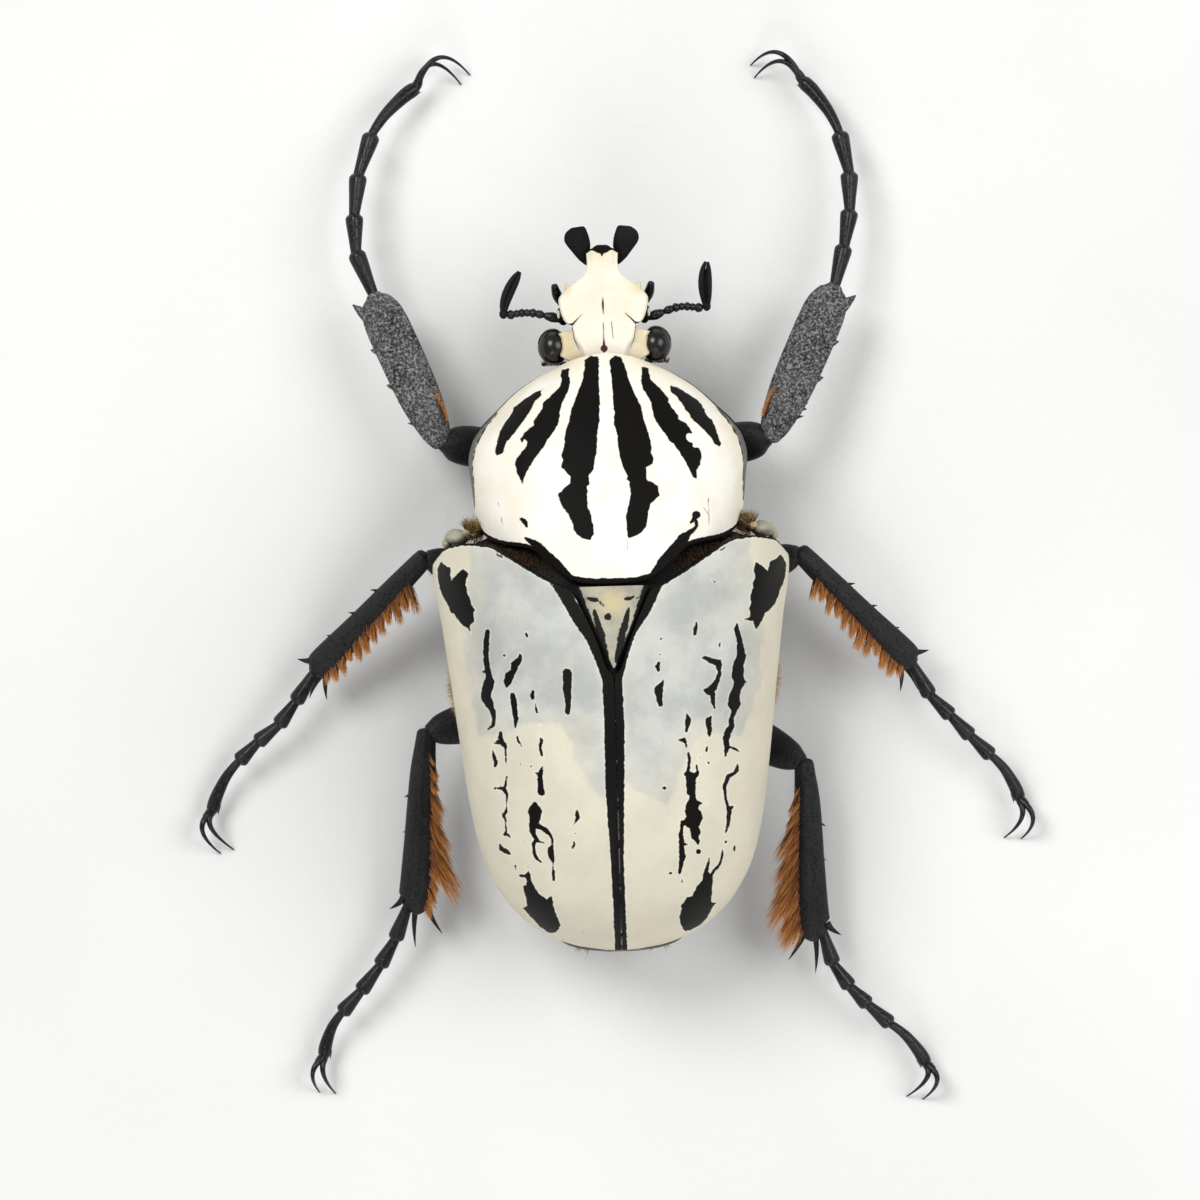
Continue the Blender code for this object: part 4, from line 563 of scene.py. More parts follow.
def ring_angles(above, below):
    """Angles of a ring with the given numbers of points above and below."""
    return np.concatenate((np.pi * np.arange(above) / above, np.pi * (1 + np.arange(below) / below)))


def grid_faces(rows, columns, wrap=False):
    """Quads of a grid of points, closed round its columns or not."""
    i, j = np.meshgrid(np.arange(rows - 1), np.arange(columns if wrap else columns - 1), indexing="ij")
    a, b = i * columns + j, i * columns + (j + 1) % columns
    return np.stack((a, b, b + columns, a + columns), -1).reshape(-1, 4).tolist()


def loft(rings):
    """Points and faces of a closed shape through rings of like count."""
    rings = np.asarray(rings, float)
    rows, columns = rings.shape[:2]
    faces = grid_faces(rows, columns, wrap=True)
    faces.append(list(range(columns))[::-1])
    faces.append(list(range((rows - 1) * columns, rows * columns)))
    return rings.reshape(-1, 3), faces


def catmull(points, steps):
    """More points along a smooth curve through the given rows."""
    points = np.asarray(points, float)
    padded = np.concatenate((2 * points[:1] - points[1:2], points, 2 * points[-1:] - points[-2:-1]))
    s = np.arange(steps)[:, None] / steps
    rows = []
    for p0, p1, p2, p3 in zip(padded, padded[1:], padded[2:], padded[3:]):
        rows.append(0.5 * (2 * p1 + (p2 - p0) * s + (2 * p0 - 5 * p1 + 4 * p2 - p3) * s ** 2
                           + (3 * p1 - p0 - 3 * p2 + p3) * s ** 3))
    return np.concatenate(rows + [points[-1:]])


def sweep(path, widths, heights, count=16, steps=4, ends=(0.5, 0.5), section=None, across=None):
    """A smooth limb along a path with rounded ends; section gives the radius share by the angle round it."""
    data = catmull(np.column_stack((path, widths, heights)), steps)
    centres, wide, high = data[:, :3], data[:, 3], data[:, 4]
    ways = unit(np.gradient(centres, axis=0))
    domes = []
    for end, sign in ((0, -1), (-1, 1)):
        reach = ends[end] * min(wide[end], high[end])
        turns = np.radians([35, 60, 80])
        dome = [(centres[end] + sign * ways[end] * reach * np.sin(a), ways[end], wide[end] * np.cos(a),
                 high[end] * np.cos(a)) for a in turns]
        domes.append(dome[::-1] if sign < 0 else dome)
    rows = domes[0] + list(zip(centres, ways, wide, high)) + domes[1]
    a = angles(count)
    share = np.ones(count) if section is None else section(a)
    rings = []
    for centre, way, half_width, half_height in rows:
        side = unit(np.cross(way, UP) if across is None else across - np.dot(across, way) * way)
        top = np.cross(side, way)
        rings.append(centre + np.outer(half_width * share * np.cos(a), side)
                     + np.outer(half_height * share * np.sin(a), top))
    return loft(rings)


def ball(centre, radii, rows=24, columns=36):
    """An ellipsoid with its poles up and down."""
    a = np.linspace(-np.pi / 2, np.pi / 2, rows + 1)[1:-1, None]
    b = angles(columns)[None]
    points = np.stack((np.cos(a) * np.cos(b), np.cos(a) * np.sin(b), np.sin(a) + 0 * b), -1)
    return loft(np.asarray(centre) + points * np.asarray(radii))


def spine(root, tip, radius, bend=(0.0, 0.0, 0.0), count=8):
    """A tapered, slightly curved spine."""
    root, tip = np.asarray(root, float), np.asarray(tip, float)
    s = np.array([0.0, 0.3, 0.6, 0.85, 1.0])
    path = root + np.outer(s, tip - root) + np.outer(s * (1 - s) * 4, bend)
    radii = radius * np.array([1.0, 0.86, 0.6, 0.3, 0.08])
    return sweep(path, radii, radii, count, 2, (0.1, 0.3))


def join(shapes):
    """Several shapes as one list of points and faces."""
    points, faces, start = [], [], 0
    for made_points, made_faces in shapes:
        points.append(made_points)
        faces += [[start + k for k in face] for face in made_faces]
        start += len(made_points)
    return np.concatenate(points), faces


def store_mark(mesh, name, values):
    """Keeps a named value for every point of a mesh."""
    stored = mesh.attributes.new(name, "FLOAT", "POINT")
    stored.data.foreach_set("value", np.asarray(values, np.float32))


def place_object(mesh, name, look, nodes=()):
    """Puts a mesh in the scene as a piece of the beetle that stands for the named solids."""
    mesh.materials.append(finish(look))
    made = bpy.data.objects.new(name, mesh)
    bpy.context.scene.collection.objects.link(made)
    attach(made, "root")
    if nodes:
        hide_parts(*nodes)


def make_piece(name, shapes, look, nodes=(), marks=None, sharp=50):
    """A piece from shapes in millimetres; marks are named values for every point."""
    points, faces = join(shapes)
    mesh = bpy.data.meshes.new(name)
    mesh.from_pydata((points * MM).tolist(), [], faces)
    mesh.validate()
    mesh.shade_smooth()
    mesh.set_sharp_from_angle(angle=math.radians(sharp))
    for mark, values in (marks or {}).items():
        store_mark(mesh, mark, values)
    place_object(mesh, name, look, nodes)


def make_coat(name, parts, look):
    """Joined tapered tufts; each has root, way, length, radius, bend and its place on the unwrapped skin."""
    roots, ways, lengths, radii, bends, places = (np.concatenate(part).astype(float) for part in zip(*parts))
    count = len(roots)
    ways = unit(ways)
    spin = np.random.default_rng(count).uniform(0, 2 * np.pi, count)[:, None]
    side = unit(np.cross(ways, UP + 0.01))
    top = np.cross(side, ways)
    side, top = side * np.cos(spin) + top * np.sin(spin), top * np.cos(spin) - side * np.sin(spin)
    points = np.empty((count, 4, 3, 3))
    for i, (s, thin) in enumerate(zip(TUFT_LEVELS, TUFT_TAPER)):
        centre = roots + ways * (lengths * s)[:, None] + bends * s * s
        for j, a in enumerate(np.radians([90, 210, 330])):
            off = side * np.cos(a) + top * np.sin(a) * TUFT_FLATNESS
            points[:, i, j] = centre + off * (radii * thin)[:, None]
    corner = np.arange(TUFT_POINTS).reshape(4, 3)
    quads = [(corner[i, j], corner[i, (j + 1) % 3], corner[i + 1, (j + 1) % 3], corner[i + 1, j])
             for i in range(3) for j in range(3)]
    pattern = np.concatenate((np.ravel(quads), (2, 1, 0), (9, 10, 11)))
    loops = (pattern[None] + TUFT_POINTS * np.arange(count)[:, None]).ravel()
    totals = np.tile([4] * 9 + [3] * 2, count)
    mesh = bpy.data.meshes.new(name)
    mesh.vertices.add(count * TUFT_POINTS)
    mesh.vertices.foreach_set("co", (points * MM).astype(np.float32).ravel())
    mesh.loops.add(len(loops))
    mesh.loops.foreach_set("vertex_index", loops.astype(np.int32))
    mesh.polygons.add(len(totals))
    mesh.polygons.foreach_set("loop_start", (np.cumsum(totals) - totals).astype(np.int32))
    mesh.update(calc_edges=True)
    patch = np.stack((np.tile([0.0, 0.0015, 0.003], 4), np.repeat([0.0, 0.001, 0.002, 0.003], 3)), -1)
    unwrap = mesh.uv_layers.new(name="OFBake")
    spots = np.clip(places, 0.002, 0.995)[:, None] + patch[None]
    unwrap.data.foreach_set("uv", spots.reshape(-1, 2)[loops].astype(np.float32).ravel())
    store_mark(mesh, "along", np.tile(np.repeat(TUFT_LEVELS, 3), count))
    store_mark(mesh, "tint", np.repeat(np.random.default_rng(count + 1).random(count), TUFT_POINTS))
    mesh.shade_smooth()
    place_object(mesh, name, look)


def socket_name(word):
    """The label of a socket from a keyword."""
    return word.replace("_", " ").title().replace("Ior", "IOR")


class Graph:
    """Adds linked nodes to a shader tree."""

    def __init__(self, tree):
        self.tree = tree

    def add(self, kind, inputs=None, **settings):
        made = self.tree.nodes.new(kind)
        made.location = (len(self.tree.nodes) * 170, 0)
        for name, value in settings.items():
            setattr(made, name, value)
        for socket, value in (inputs or {}).items():
            self.feed(made.inputs[socket], value)
        return made

    def feed(self, socket, value):
        if isinstance(value, bpy.types.NodeSocket):
            self.tree.links.new(value, socket)
        else:
            socket.default_value = value

    def math(self, operation, *values):
        return self.add("ShaderNodeMath", dict(enumerate(values)), operation=operation).outputs[0]

    def vector(self, operation, place, by):
        """Scales a place, or multiplies it by three values."""
        inputs = {0: place, "Scale" if operation == "SCALE" else 1: by}
        return self.add("ShaderNodeVectorMath", inputs, operation=operation).outputs[0]

    def blend(self, share, first, second):
        """Mixes two colours."""
        inputs = {0: share, 6: first, 7: second}
        return self.add("ShaderNodeMix", inputs, data_type="RGBA").outputs[2]

    def ramp(self, value, low, high, start=0.0, end=1.0):
        """A soft step from start to end as the value goes from low to high."""
        inputs = {"Value": value, "From Min": low, "From Max": high, "To Min": start, "To Max": end}
        return self.add("ShaderNodeMapRange", inputs, interpolation_type="SMOOTHSTEP").outputs[0]

    def noise(self, place, scale, detail=4.0, roughness=0.55):
        inputs = {"Vector": place, "Scale": scale, "Detail": detail, "Roughness": roughness}
        return self.add("ShaderNodeTexNoise", inputs).outputs["Fac"]

    def patches(self, place, scale, detail, low, high, start=0.0, end=1.0):
        """Cloudy patches of noise with soft edges."""
        return self.ramp(self.noise(place, scale, detail), low, high, start, end)

    def cells(self, place, scale):
        return self.add("ShaderNodeTexVoronoi", {"Vector": place, "Scale": scale}).outputs["Distance"]

    def mark(self, name):
        return self.add("ShaderNodeAttribute", attribute_name=name).outputs["Fac"]

    def mask(self, place, name, wander):
        """Where a mark lies, with a ragged edge."""
        return self.group("Ragged Edge", place=place, depth=self.mark(name), wander=wander)["Mask"]

    def bump(self, height, distance):
        inputs = {"Height": height, "Distance": distance * MM, "Strength": 1.0}
        return self.add("ShaderNodeBump", inputs).outputs[0]

    def group(self, name, **inputs):
        made = self.add("ShaderNodeGroup", node_tree=bpy.data.node_groups[name])
        for socket, value in inputs.items():
            self.feed(made.inputs[socket_name(socket)], value)
        return made.outputs

    def shade(self, **sockets):
        """Feeds sockets of the material's shader."""
        shader = self.tree.nodes["Principled BSDF"]
        for socket, value in sockets.items():
            self.feed(shader.inputs[socket_name(socket)], value)


def new_group(name, inputs, outputs):
    """An empty shader group with named sockets."""
    tree = bpy.data.node_groups.new(name, "ShaderNodeTree")
    for socket, kind in inputs.items():
        tree.interface.new_socket(socket, in_out="INPUT", socket_type="NodeSocket" + kind)
    for socket in outputs:
        tree.interface.new_socket(socket, in_out="OUTPUT", socket_type="NodeSocketFloat")
    graph = Graph(tree)
    return graph, graph.add("NodeGroupInput").outputs, graph.add("NodeGroupOutput").inputs


def build_ragged_edge():
    """Turns the depth inside a mark into a mask whose edge wanders as the scales of the plate end."""
    inputs = {"Place": "Vector", "Depth": "Float", "Wander": "Float"}
    graph, given, out = new_group("Ragged Edge", inputs, ["Mask"])
    coarse = graph.noise(given["Place"], 1.6, 3.0)
    fine = graph.noise(given["Place"], 9.0, 2.0)
    wave = graph.math("ADD", graph.math("SUBTRACT", coarse, 0.5), graph.math("MULTIPLY", fine, 0.35))
    wave = graph.math("SUBTRACT", wave, 0.17)
    moved = graph.math("MULTIPLY_ADD", wave, given["Wander"], given["Depth"])
    graph.feed(out["Mask"], graph.ramp(moved, -0.05, 0.05))


def build_plate_grain():
    """Fine relief, slow cloudiness and small scuffs of a dry hard plate."""
    inputs = {"Place": "Vector", "Scale": "Float"}
    graph, given, out = new_group("Plate Grain", inputs, ["Relief", "Cloud", "Scuff"])
    place = graph.vector("SCALE", given["Place"], given["Scale"])
    fine = graph.noise(place, 5.0, 5.0, 0.6)
    pits = graph.ramp(graph.cells(place, 2.6), 0.05, 0.3)
    graph.feed(out["Relief"], graph.math("MULTIPLY_ADD", pits, 0.5, fine))
    graph.feed(out["Cloud"], graph.patches(place, 0.22, 4.0, 0.34, 0.66))
    stretched = graph.vector("MULTIPLY", place, (3.0, 0.35, 1.0))
    graph.feed(out["Scuff"], graph.ramp(graph.noise(stretched, 2.0, 6.0, 0.7), 0.66, 0.78))


def build_punctures():
    """Small round pits set close over a plate, with the ground between them a little uneven."""
    graph, given, out = new_group("Punctures", {"Place": "Vector", "Density": "Float"}, ["Height", "Pit"])
    near = graph.cells(given["Place"], given["Density"])
    pit = graph.ramp(near, 0.12, 0.34)
    ground = graph.noise(given["Place"], 4.0, 4.0)
    graph.feed(out["Height"], graph.math("MULTIPLY_ADD", ground, 0.3, pit))
    graph.feed(out["Pit"], graph.math("SUBTRACT", 1.0, pit))


def new_finish(name):
    """The graph of a new material, and the place on the piece in millimetres."""
    made = bpy.data.materials.new(name)
    made.use_nodes = True
    graph = Graph(made.node_tree)
    return graph, graph.vector("SCALE", graph.add("ShaderNodeTexCoord").outputs["Object"], 1 / MM)


def marked_plate_finish(settings):
    """Ivory plate of back and head: black marks with ragged edges and a few brown seams."""
    graph, place = new_finish("ivory plate")
    grain = graph.group("Plate Grain", place=place, scale=1.0)
    black = graph.mask(place, "black", settings.wander / MM)
    brown = graph.mask(place, "brown", 0.06)
    stain = graph.math("MULTIPLY", graph.mark("stain"), graph.patches(place, 0.6, 5.0, 0.25, 0.65, 0.65))
    light = graph.blend(grain["Cloud"], settings.ivory_shade, settings.ivory)
    light = graph.blend(graph.math("MULTIPLY", grain["Scuff"], 0.3), light, settings.stain)
    light = graph.blend(stain, light, settings.stain)
    light = graph.blend(brown, light, settings.seam)
    specks = graph.patches(place, 7.0, 3.0, 0.70, 0.78, 0.0, 0.5)
    dark = graph.blend(specks, settings.black, settings.black_wear)
    rough = graph.ramp(grain["Relief"], 0.3, 1.1, 0.42, 0.6)
    relief = graph.math("MULTIPLY_ADD", black, -0.5, grain["Relief"])
    edge = graph.ramp(graph.mark("rim"), -0.03, 0.03)
    dust = graph.blend(graph.ramp(grain["Relief"], 0.3, 1.0), settings.edge_shade, settings.edge)
    graph.shade(base_color=graph.blend(edge, graph.blend(black, light, dark), dust),
                roughness=graph.math("MULTIPLY_ADD", black, -0.08, rough),
                normal=graph.bump(relief, 0.05), specular_ior_level=0.09)


def wing_case_finish(settings):
    """Wing case: a blue-grey bloom in the middle, cream behind and at the sides, black streaks."""
    graph, place = new_finish("wing case")
    grain = graph.group("Plate Grain", place=place, scale=0.8)
    black = graph.mask(place, "black", settings.wander / MM)
    drift = graph.math("MULTIPLY_ADD", graph.noise(place, 0.3, 6.0, 0.65), 2.6, graph.mark("cool"))
    cool = graph.math("ADD", graph.ramp(drift, 0.7, 1.5, 0.0, 0.7), graph.ramp(drift, 1.6, 4.8, 0.0, 0.4))
    cool = graph.math("MULTIPLY", cool, graph.ramp(graph.noise(place, 0.28, 4.0, 0.6), 0.3, 0.6, 0.7, 1.0))
    cream = graph.blend(grain["Cloud"], settings.cream_shade, settings.cream)
    grey = graph.blend(grain["Cloud"], settings.bloom_shade, settings.bloom)
    light = graph.blend(cool, cream, grey)
    light = graph.blend(graph.math("MULTIPLY", grain["Scuff"], 0.35), light, settings.ivory)
    dashes = graph.vector("MULTIPLY", place, (1.6, 0.5, 1.0))
    light = graph.blend(graph.patches(dashes, 1.1, 3.0, 0.68, 0.76, 0.0, 0.35), light, settings.dash)
    # Painted shade: a faint tan-pink tint that darkens the sides and the tip where the wing case turns down;
    # partly its own tint.
    edge_tint_and_shade = graph.math("MULTIPLY", graph.mark("edge_tint_and_shade"), graph.patches(place, 0.25, 4.0, 0.35, 0.7))
    light = graph.blend(edge_tint_and_shade, light, settings.edge_tint_and_shade)
    rim = graph.ramp(graph.mark("black"), -0.25, -0.04, 0.0, 0.22)
    light = graph.blend(rim, light, settings.ivory)
    rubbed = graph.patches(place, 5.0, 4.0, 0.6, 0.8, 0.0, 0.6)
    dark = graph.blend(rubbed, settings.black, settings.black_wear)
    relief = graph.math("MULTIPLY_ADD", black, -0.6, grain["Relief"])
    graph.shade(base_color=graph.blend(black, light, dark),
                roughness=graph.ramp(grain["Relief"], 0.3, 1.1, 0.34, 0.5),
                normal=graph.bump(relief, 0.04), specular_ior_level=0.12)


def pale_plate_finish(settings):
    """Small plates between back and wing cases: a chalky grey white with tan in the middle."""
    graph, place = new_finish("pale plate")
    grain = graph.group("Plate Grain", place=place, scale=1.4)
    light = graph.blend(grain["Cloud"], settings.chalk_shade, settings.chalk)
    light = graph.blend(graph.math("MULTIPLY", graph.mark("stain"), 0.8), light, settings.stain)
    graph.shade(base_color=graph.blend(graph.mask(place, "black", 0.5), light, settings.black),
                roughness=graph.ramp(grain["Relief"], 0.3, 1.1, 0.5, 0.7),
                normal=graph.bump(grain["Relief"], 0.08), specular_ior_level=0.3)


def horn_finish(settings, name):
    """Black horn of legs, feelers and jaws: punctured, worn grey in scattered scuffs."""
    gloss, relief, density, shine, specks, tones = HORNS[name]
    base, shade, wear = (getattr(settings, word) for word in tones)
    graph, place = new_finish(name)
    grain = graph.group("Plate Grain", place=place, scale=1.6)
    pits = graph.group("Punctures", place=place, density=density)
    worn = graph.math("MULTIPLY", grain["Scuff"], graph.ramp(grain["Cloud"], 0.0, 1.0, 0.2, 0.7))
    # Pale specks; on the fore shins partly painted glints of their many small highlights.
    speckle_and_glint = graph.ramp(graph.noise(place, 3.2, 4.0, 0.7), 0.44, 0.66, 0.0, specks)
    colour = graph.blend(grain["Cloud"], base, shade)
    rough = graph.math("MULTIPLY_ADD", grain["Cloud"], 0.12, gloss)
    height = graph.math("MULTIPLY_ADD", grain["Relief"], 0.3, pits["Height"])
    graph.shade(base_color=graph.blend(graph.math("MAXIMUM", worn, speckle_and_glint), colour, wear),
                roughness=graph.math("MULTIPLY_ADD", pits["Pit"], 0.2, rough),
                normal=graph.bump(height, relief), specular_ior_level=shine)


def belly_finish(settings):
    """Polished dark underside with a green-brown cast and scattered pits."""
    graph, place = new_finish("polished belly")
    grain = graph.group("Plate Grain", place=place, scale=0.9)
    pits = graph.group("Punctures", place=place, density=1.1)
    graph.shade(base_color=graph.blend(grain["Cloud"], settings.belly, settings.belly_shade),
                roughness=graph.math("MULTIPLY_ADD", pits["Pit"], 0.25, 0.2),
                normal=graph.bump(pits["Height"], 0.07), coat_weight=0.25)


def eye_finish(settings):
    """Glossy dark eye of close-set fine facets."""
    graph, place = new_finish("faceted eye")
    facets = graph.cells(place, 14.0)
    depths = graph.patches(place, 0.8, 3.0, 0.35, 0.7)
    graph.shade(base_color=graph.blend(depths, settings.eye, settings.eye_shade),
                roughness=graph.ramp(facets, 0.2, 0.6, 0.18, 0.28),
                normal=graph.bump(graph.ramp(facets, 0.1, 0.6, 1.0, 0.0), 0.002))


def hair_finish(settings, word):
    """Stiff shining hair, darker at its root, each tuft a little different."""
    root, tip = getattr(settings, word + "_root"), getattr(settings, word + "_tip")
    graph, place = new_finish(word + " hair")
    colour = graph.blend(graph.ramp(graph.mark("along"), 0.1, 0.95), root, tip)
    shade = graph.ramp(graph.mark("tint"), 0.0, 1.0, 0.0, 0.28)
    graph.shade(base_color=graph.blend(shade, colour, root),
                roughness=graph.patches(place, 6.0, 2.0, 0.3, 0.7, 0.35, 0.55))


def floor_finish(settings):
    """Pale matt studio floor with a faint tooth."""
    graph, place = new_finish("studio floor")
    tooth = graph.noise(place, 0.5, 6.0)
    shade = tuple(FLOOR_SHADE * c for c in settings.floor[:3]) + (1.0,)
    graph.shade(base_color=graph.blend(graph.patches(place, 0.01, 3.0, 0.3, 0.7), shade, settings.floor),
                roughness=graph.ramp(tooth, 0.3, 0.7, 0.75, 0.9), normal=graph.bump(tooth, 0.1))


def finish(name):
    """The named material, made with the others on first use."""
    if name not in bpy.data.materials:
        settings = bpy.context.scene.beetle.colours
        for build in (build_ragged_edge, build_plate_grain, build_punctures):
            build()
        for build in (marked_plate_finish, wing_case_finish, pale_plate_finish, belly_finish, eye_finish,
                      floor_finish):
            build(settings)
        for horn in HORNS:
            horn_finish(settings, horn)
        for hair in ("comb", "gold", "brown"):
            hair_finish(settings, hair)
    return bpy.data.materials[name]


def case_surface(down, t, inset=0.0):
    """Points of the left wing case; down runs from its front edge to its tip, t from seam to margin."""
    front = profile(CASE_FRONT)(t)
    y = front + (CASE_END - inset - front) * down
    half = profile(CASE_HALF_WIDTH)(y + inset) - inset
    margin = profile(CASE_MARGIN)(y)
    x = CASE_SEAM + t * (half - CASE_SEAM)
    z = margin + (profile(CASE_CREST)(y) - inset - margin) * arch(t)
    return x, y, z


def build_wing_case(word, rows=260, columns=150):
    """A domed shell with shoulder and tip swellings, open below."""
    side = SIDES[word]
    down = 1 - (1 - np.arange(rows + 1)[:, None] / rows) ** 1.6
    t = np.sin(np.pi / 2 * np.arange(columns + 1)[None] / columns)
    x, y, z = case_surface(down, t)
    rise = sum(high * bump_at(x, y, cx, cy, reach) for cx, cy, reach, high in CASE_SWELLS)
    middle, reach, high = CASE_RIDGE
    rise = rise + high * np.exp(-((x - middle) / reach) ** 2) * smooth(y, 16, 34)
    rise = rise + CASE_RIPPLE * np.sin(1.1 * x + 0.35 * y) * np.sin(0.5 * y + 1.3) * smooth(t, 0.0, 0.3)
    outer = np.stack((side * x, y, z + rise * (1 - smooth(t, 0.96, 1.0))), -1).reshape(-1, 3)
    ix, iy, iz = case_surface(down, t, CASE_THICKNESS)
    inner = np.stack((side * ix, iy, iz), -1).reshape(-1, 3)
    total = len(outer)
    faces = grid_faces(rows + 1, columns + 1)
    faces += [[k + total for k in face[::-1]] for face in faces]
    wide = columns + 1
    rim = list(range(wide)) + [i * wide + columns for i in range(1, rows + 1)]
    rim += [rows * wide + j for j in range(columns - 1, -1, -1)] + [i * wide for i in range(rows - 1, 0, -1)]
    faces += [[a, b, b + total, a + total][::-1] for a, b in zip(rim, rim[1:] + rim[:1])]
    if side > 0:
        faces = [face[::-1] for face in faces]
    x, y, z = outer.T
    t = np.tile(t.ravel(), rows + 1)
    black = np.maximum(streak_depth(x, y, CASE_STREAKS), outline_depth(x, y, CASE_PATCHES + CASE_BANDS))
    side_line, front_line = CASE_LINES
    black = np.maximum(black, side_line - (z - profile(CASE_MARGIN)(y)) - FAR * (t < 0.9))
    black = np.maximum(black, front_line - (y - profile(CASE_FRONT)(t)))
    cool = outline_depth(x, y, COOL_ZONES)
    # Tan-pink tint and painted shade, strongest at the sides and the tip where the case turns down.
    edge_tint_and_shade = 0.25 * smooth(t, 0.72, 0.95) + 0.2 * smooth(y, 34.0, 42.0)
    marks = {"black": np.concatenate((black, np.full(total, FAR))), "cool": np.concatenate((cool, cool)),
             "edge_tint_and_shade": np.concatenate((edge_tint_and_shade, edge_tint_and_shade))}
    make_piece("wing_case_" + word, [(np.concatenate((outer, inner)), faces)], "wing case",
               ["elytron_" + word], marks, sharp=60)


def back_ring(u):
    """One ring of the front thorax: the domed back plate above, the breast below."""
    above, below = BACK_POINTS
    t = np.cos(ring_angles(above, below))
    stations = (BACK_HALF_WIDTH, BACK_CREST, BACK_MARGIN, BREAST_DEPTH)
    half, crest, margin, deep = (profile(s)(u) for s in stations)
    up = np.arange(above + below) < above
    first = np.where(up, profile(BACK_FRONT)(abs(t)), profile(BREAST_FRONT)(abs(t)))
    last = np.where(up, profile(BACK_REAR)(abs(t)), profile(BREAST_REAR)(abs(t)))
    dome = margin + (crest - margin) * arch(t, BACK_BULGE)
    under = np.maximum(BELLY, margin - (margin - deep) * arch(t, BREAST_BULGE))
    return np.stack((half * t, first + (last - first) * u, np.where(up, dome, under)), -1)


def neck_rings(ring, neck, sizes):
    """Smaller copies of a ring, each moved a share of the way to the neck's plane."""
    plane, middle = neck
    return [np.stack((ring[:, 0] * wide, ring[:, 1] + (plane - ring[:, 1]) * share,
                      middle + (ring[:, 2] - middle) * high), -1) for wide, high, share in sizes]


def build_back_plate():
    """The striped back plate with the breast under it, hollowed for head and neck."""
    rings = [back_ring(u) for u in np.linspace(0, 1, 190) ** 1.1]
    rings = (neck_rings(rings[0], NECK_FRONT, FRONT_RINGS) + rings
             + neck_rings(rings[-1], NECK_REAR, REAR_RINGS))
    points, faces = loft(rings)
    x, y, z = points.T
    above, count = BACK_POINTS[0], len(rings[0])
    turns = np.concatenate((np.arange(above) / above, 1 + np.arange(count - above) / (count - above)))
    t = np.abs(np.tile(np.cos(np.pi * turns), len(rings)))
    below = np.tile(np.arange(count) >= above, len(rings))
    points[:, 2] += np.where(below, 0, 0.05 * np.sin(0.9 * x + 0.4) * np.sin(0.7 * y))
    black = np.maximum(outline_depth(x, y, BACK_STRIPES), streak_depth(x, y, BACK_STREAKS))
    margin = np.interp(y, *np.array(BACK_EDGE).T)
    side_line, rear_line = BACK_LINES
    black = np.maximum(black, side_line - (z - margin) - FAR * (t < 0.85))
    black = np.maximum(black, y - (profile(BACK_REAR)(t) - rear_line))
    middle, reach, width = BACK_RIM
    width = width * (1 - ((y - middle) / reach) ** 2)
    inwards = np.where(t < 0.5, FAR, np.abs(x) * (1 / np.maximum(t, 0.1) - 1))
    rim = np.where(below | (width < 0), -FAR, np.minimum(width - inwards, z - margin - 0.3))
    black = np.where(width > 0, np.maximum(black, 0.07 - np.abs(inwards - width - 0.06)), black)
    black = np.where(below, FAR, black)
    black[:2 * count] = FAR
    stain = 0.3 * smooth(t, 0.85, 1.0) + 0.25 * smooth(-y, 23.0, 26.0)
    brown = np.where(below, -FAR, streak_depth(x, y, BACK_SCRATCHES))
    make_piece("back_plate", [(points, faces)], "ivory plate", ["prothorax"],
               {"black": black, "brown": brown, "stain": stain, "rim": rim}, sharp=50)


def head_top(x, y):
    """Height of the head's upper face, with its plate, rims, grooves and creases."""
    z = profile(HEAD_TOP)(y) - HEAD_CROWN * (x / 5.0) ** 2
    beside = smooth(np.abs(x) - profile(HEAD_PLATE)(y), -0.3, 0.3)
    z = z - HEAD_PLATE_STEP * beside * smooth(y, -30.3, -29.8)
    rim = smooth(np.abs(x) / profile(HEAD_HALF_WIDTH)(y), 0.55, 0.92)
    for high, reach, behind, before in HEAD_FORMS:
        form = rim if reach is None else np.exp(-(x / reach) ** 2)
        z = z + high * form * smooth(-y, *behind) * smooth(y, *before)
    for start, end, deep, wide in HEAD_LINES:
        off = np.minimum(streak_depth(x, y, [[(*start, 0.0), (*end, 0.0)]]) / wide, 0)
        z = z - deep * np.exp(-off ** 2)
    return z


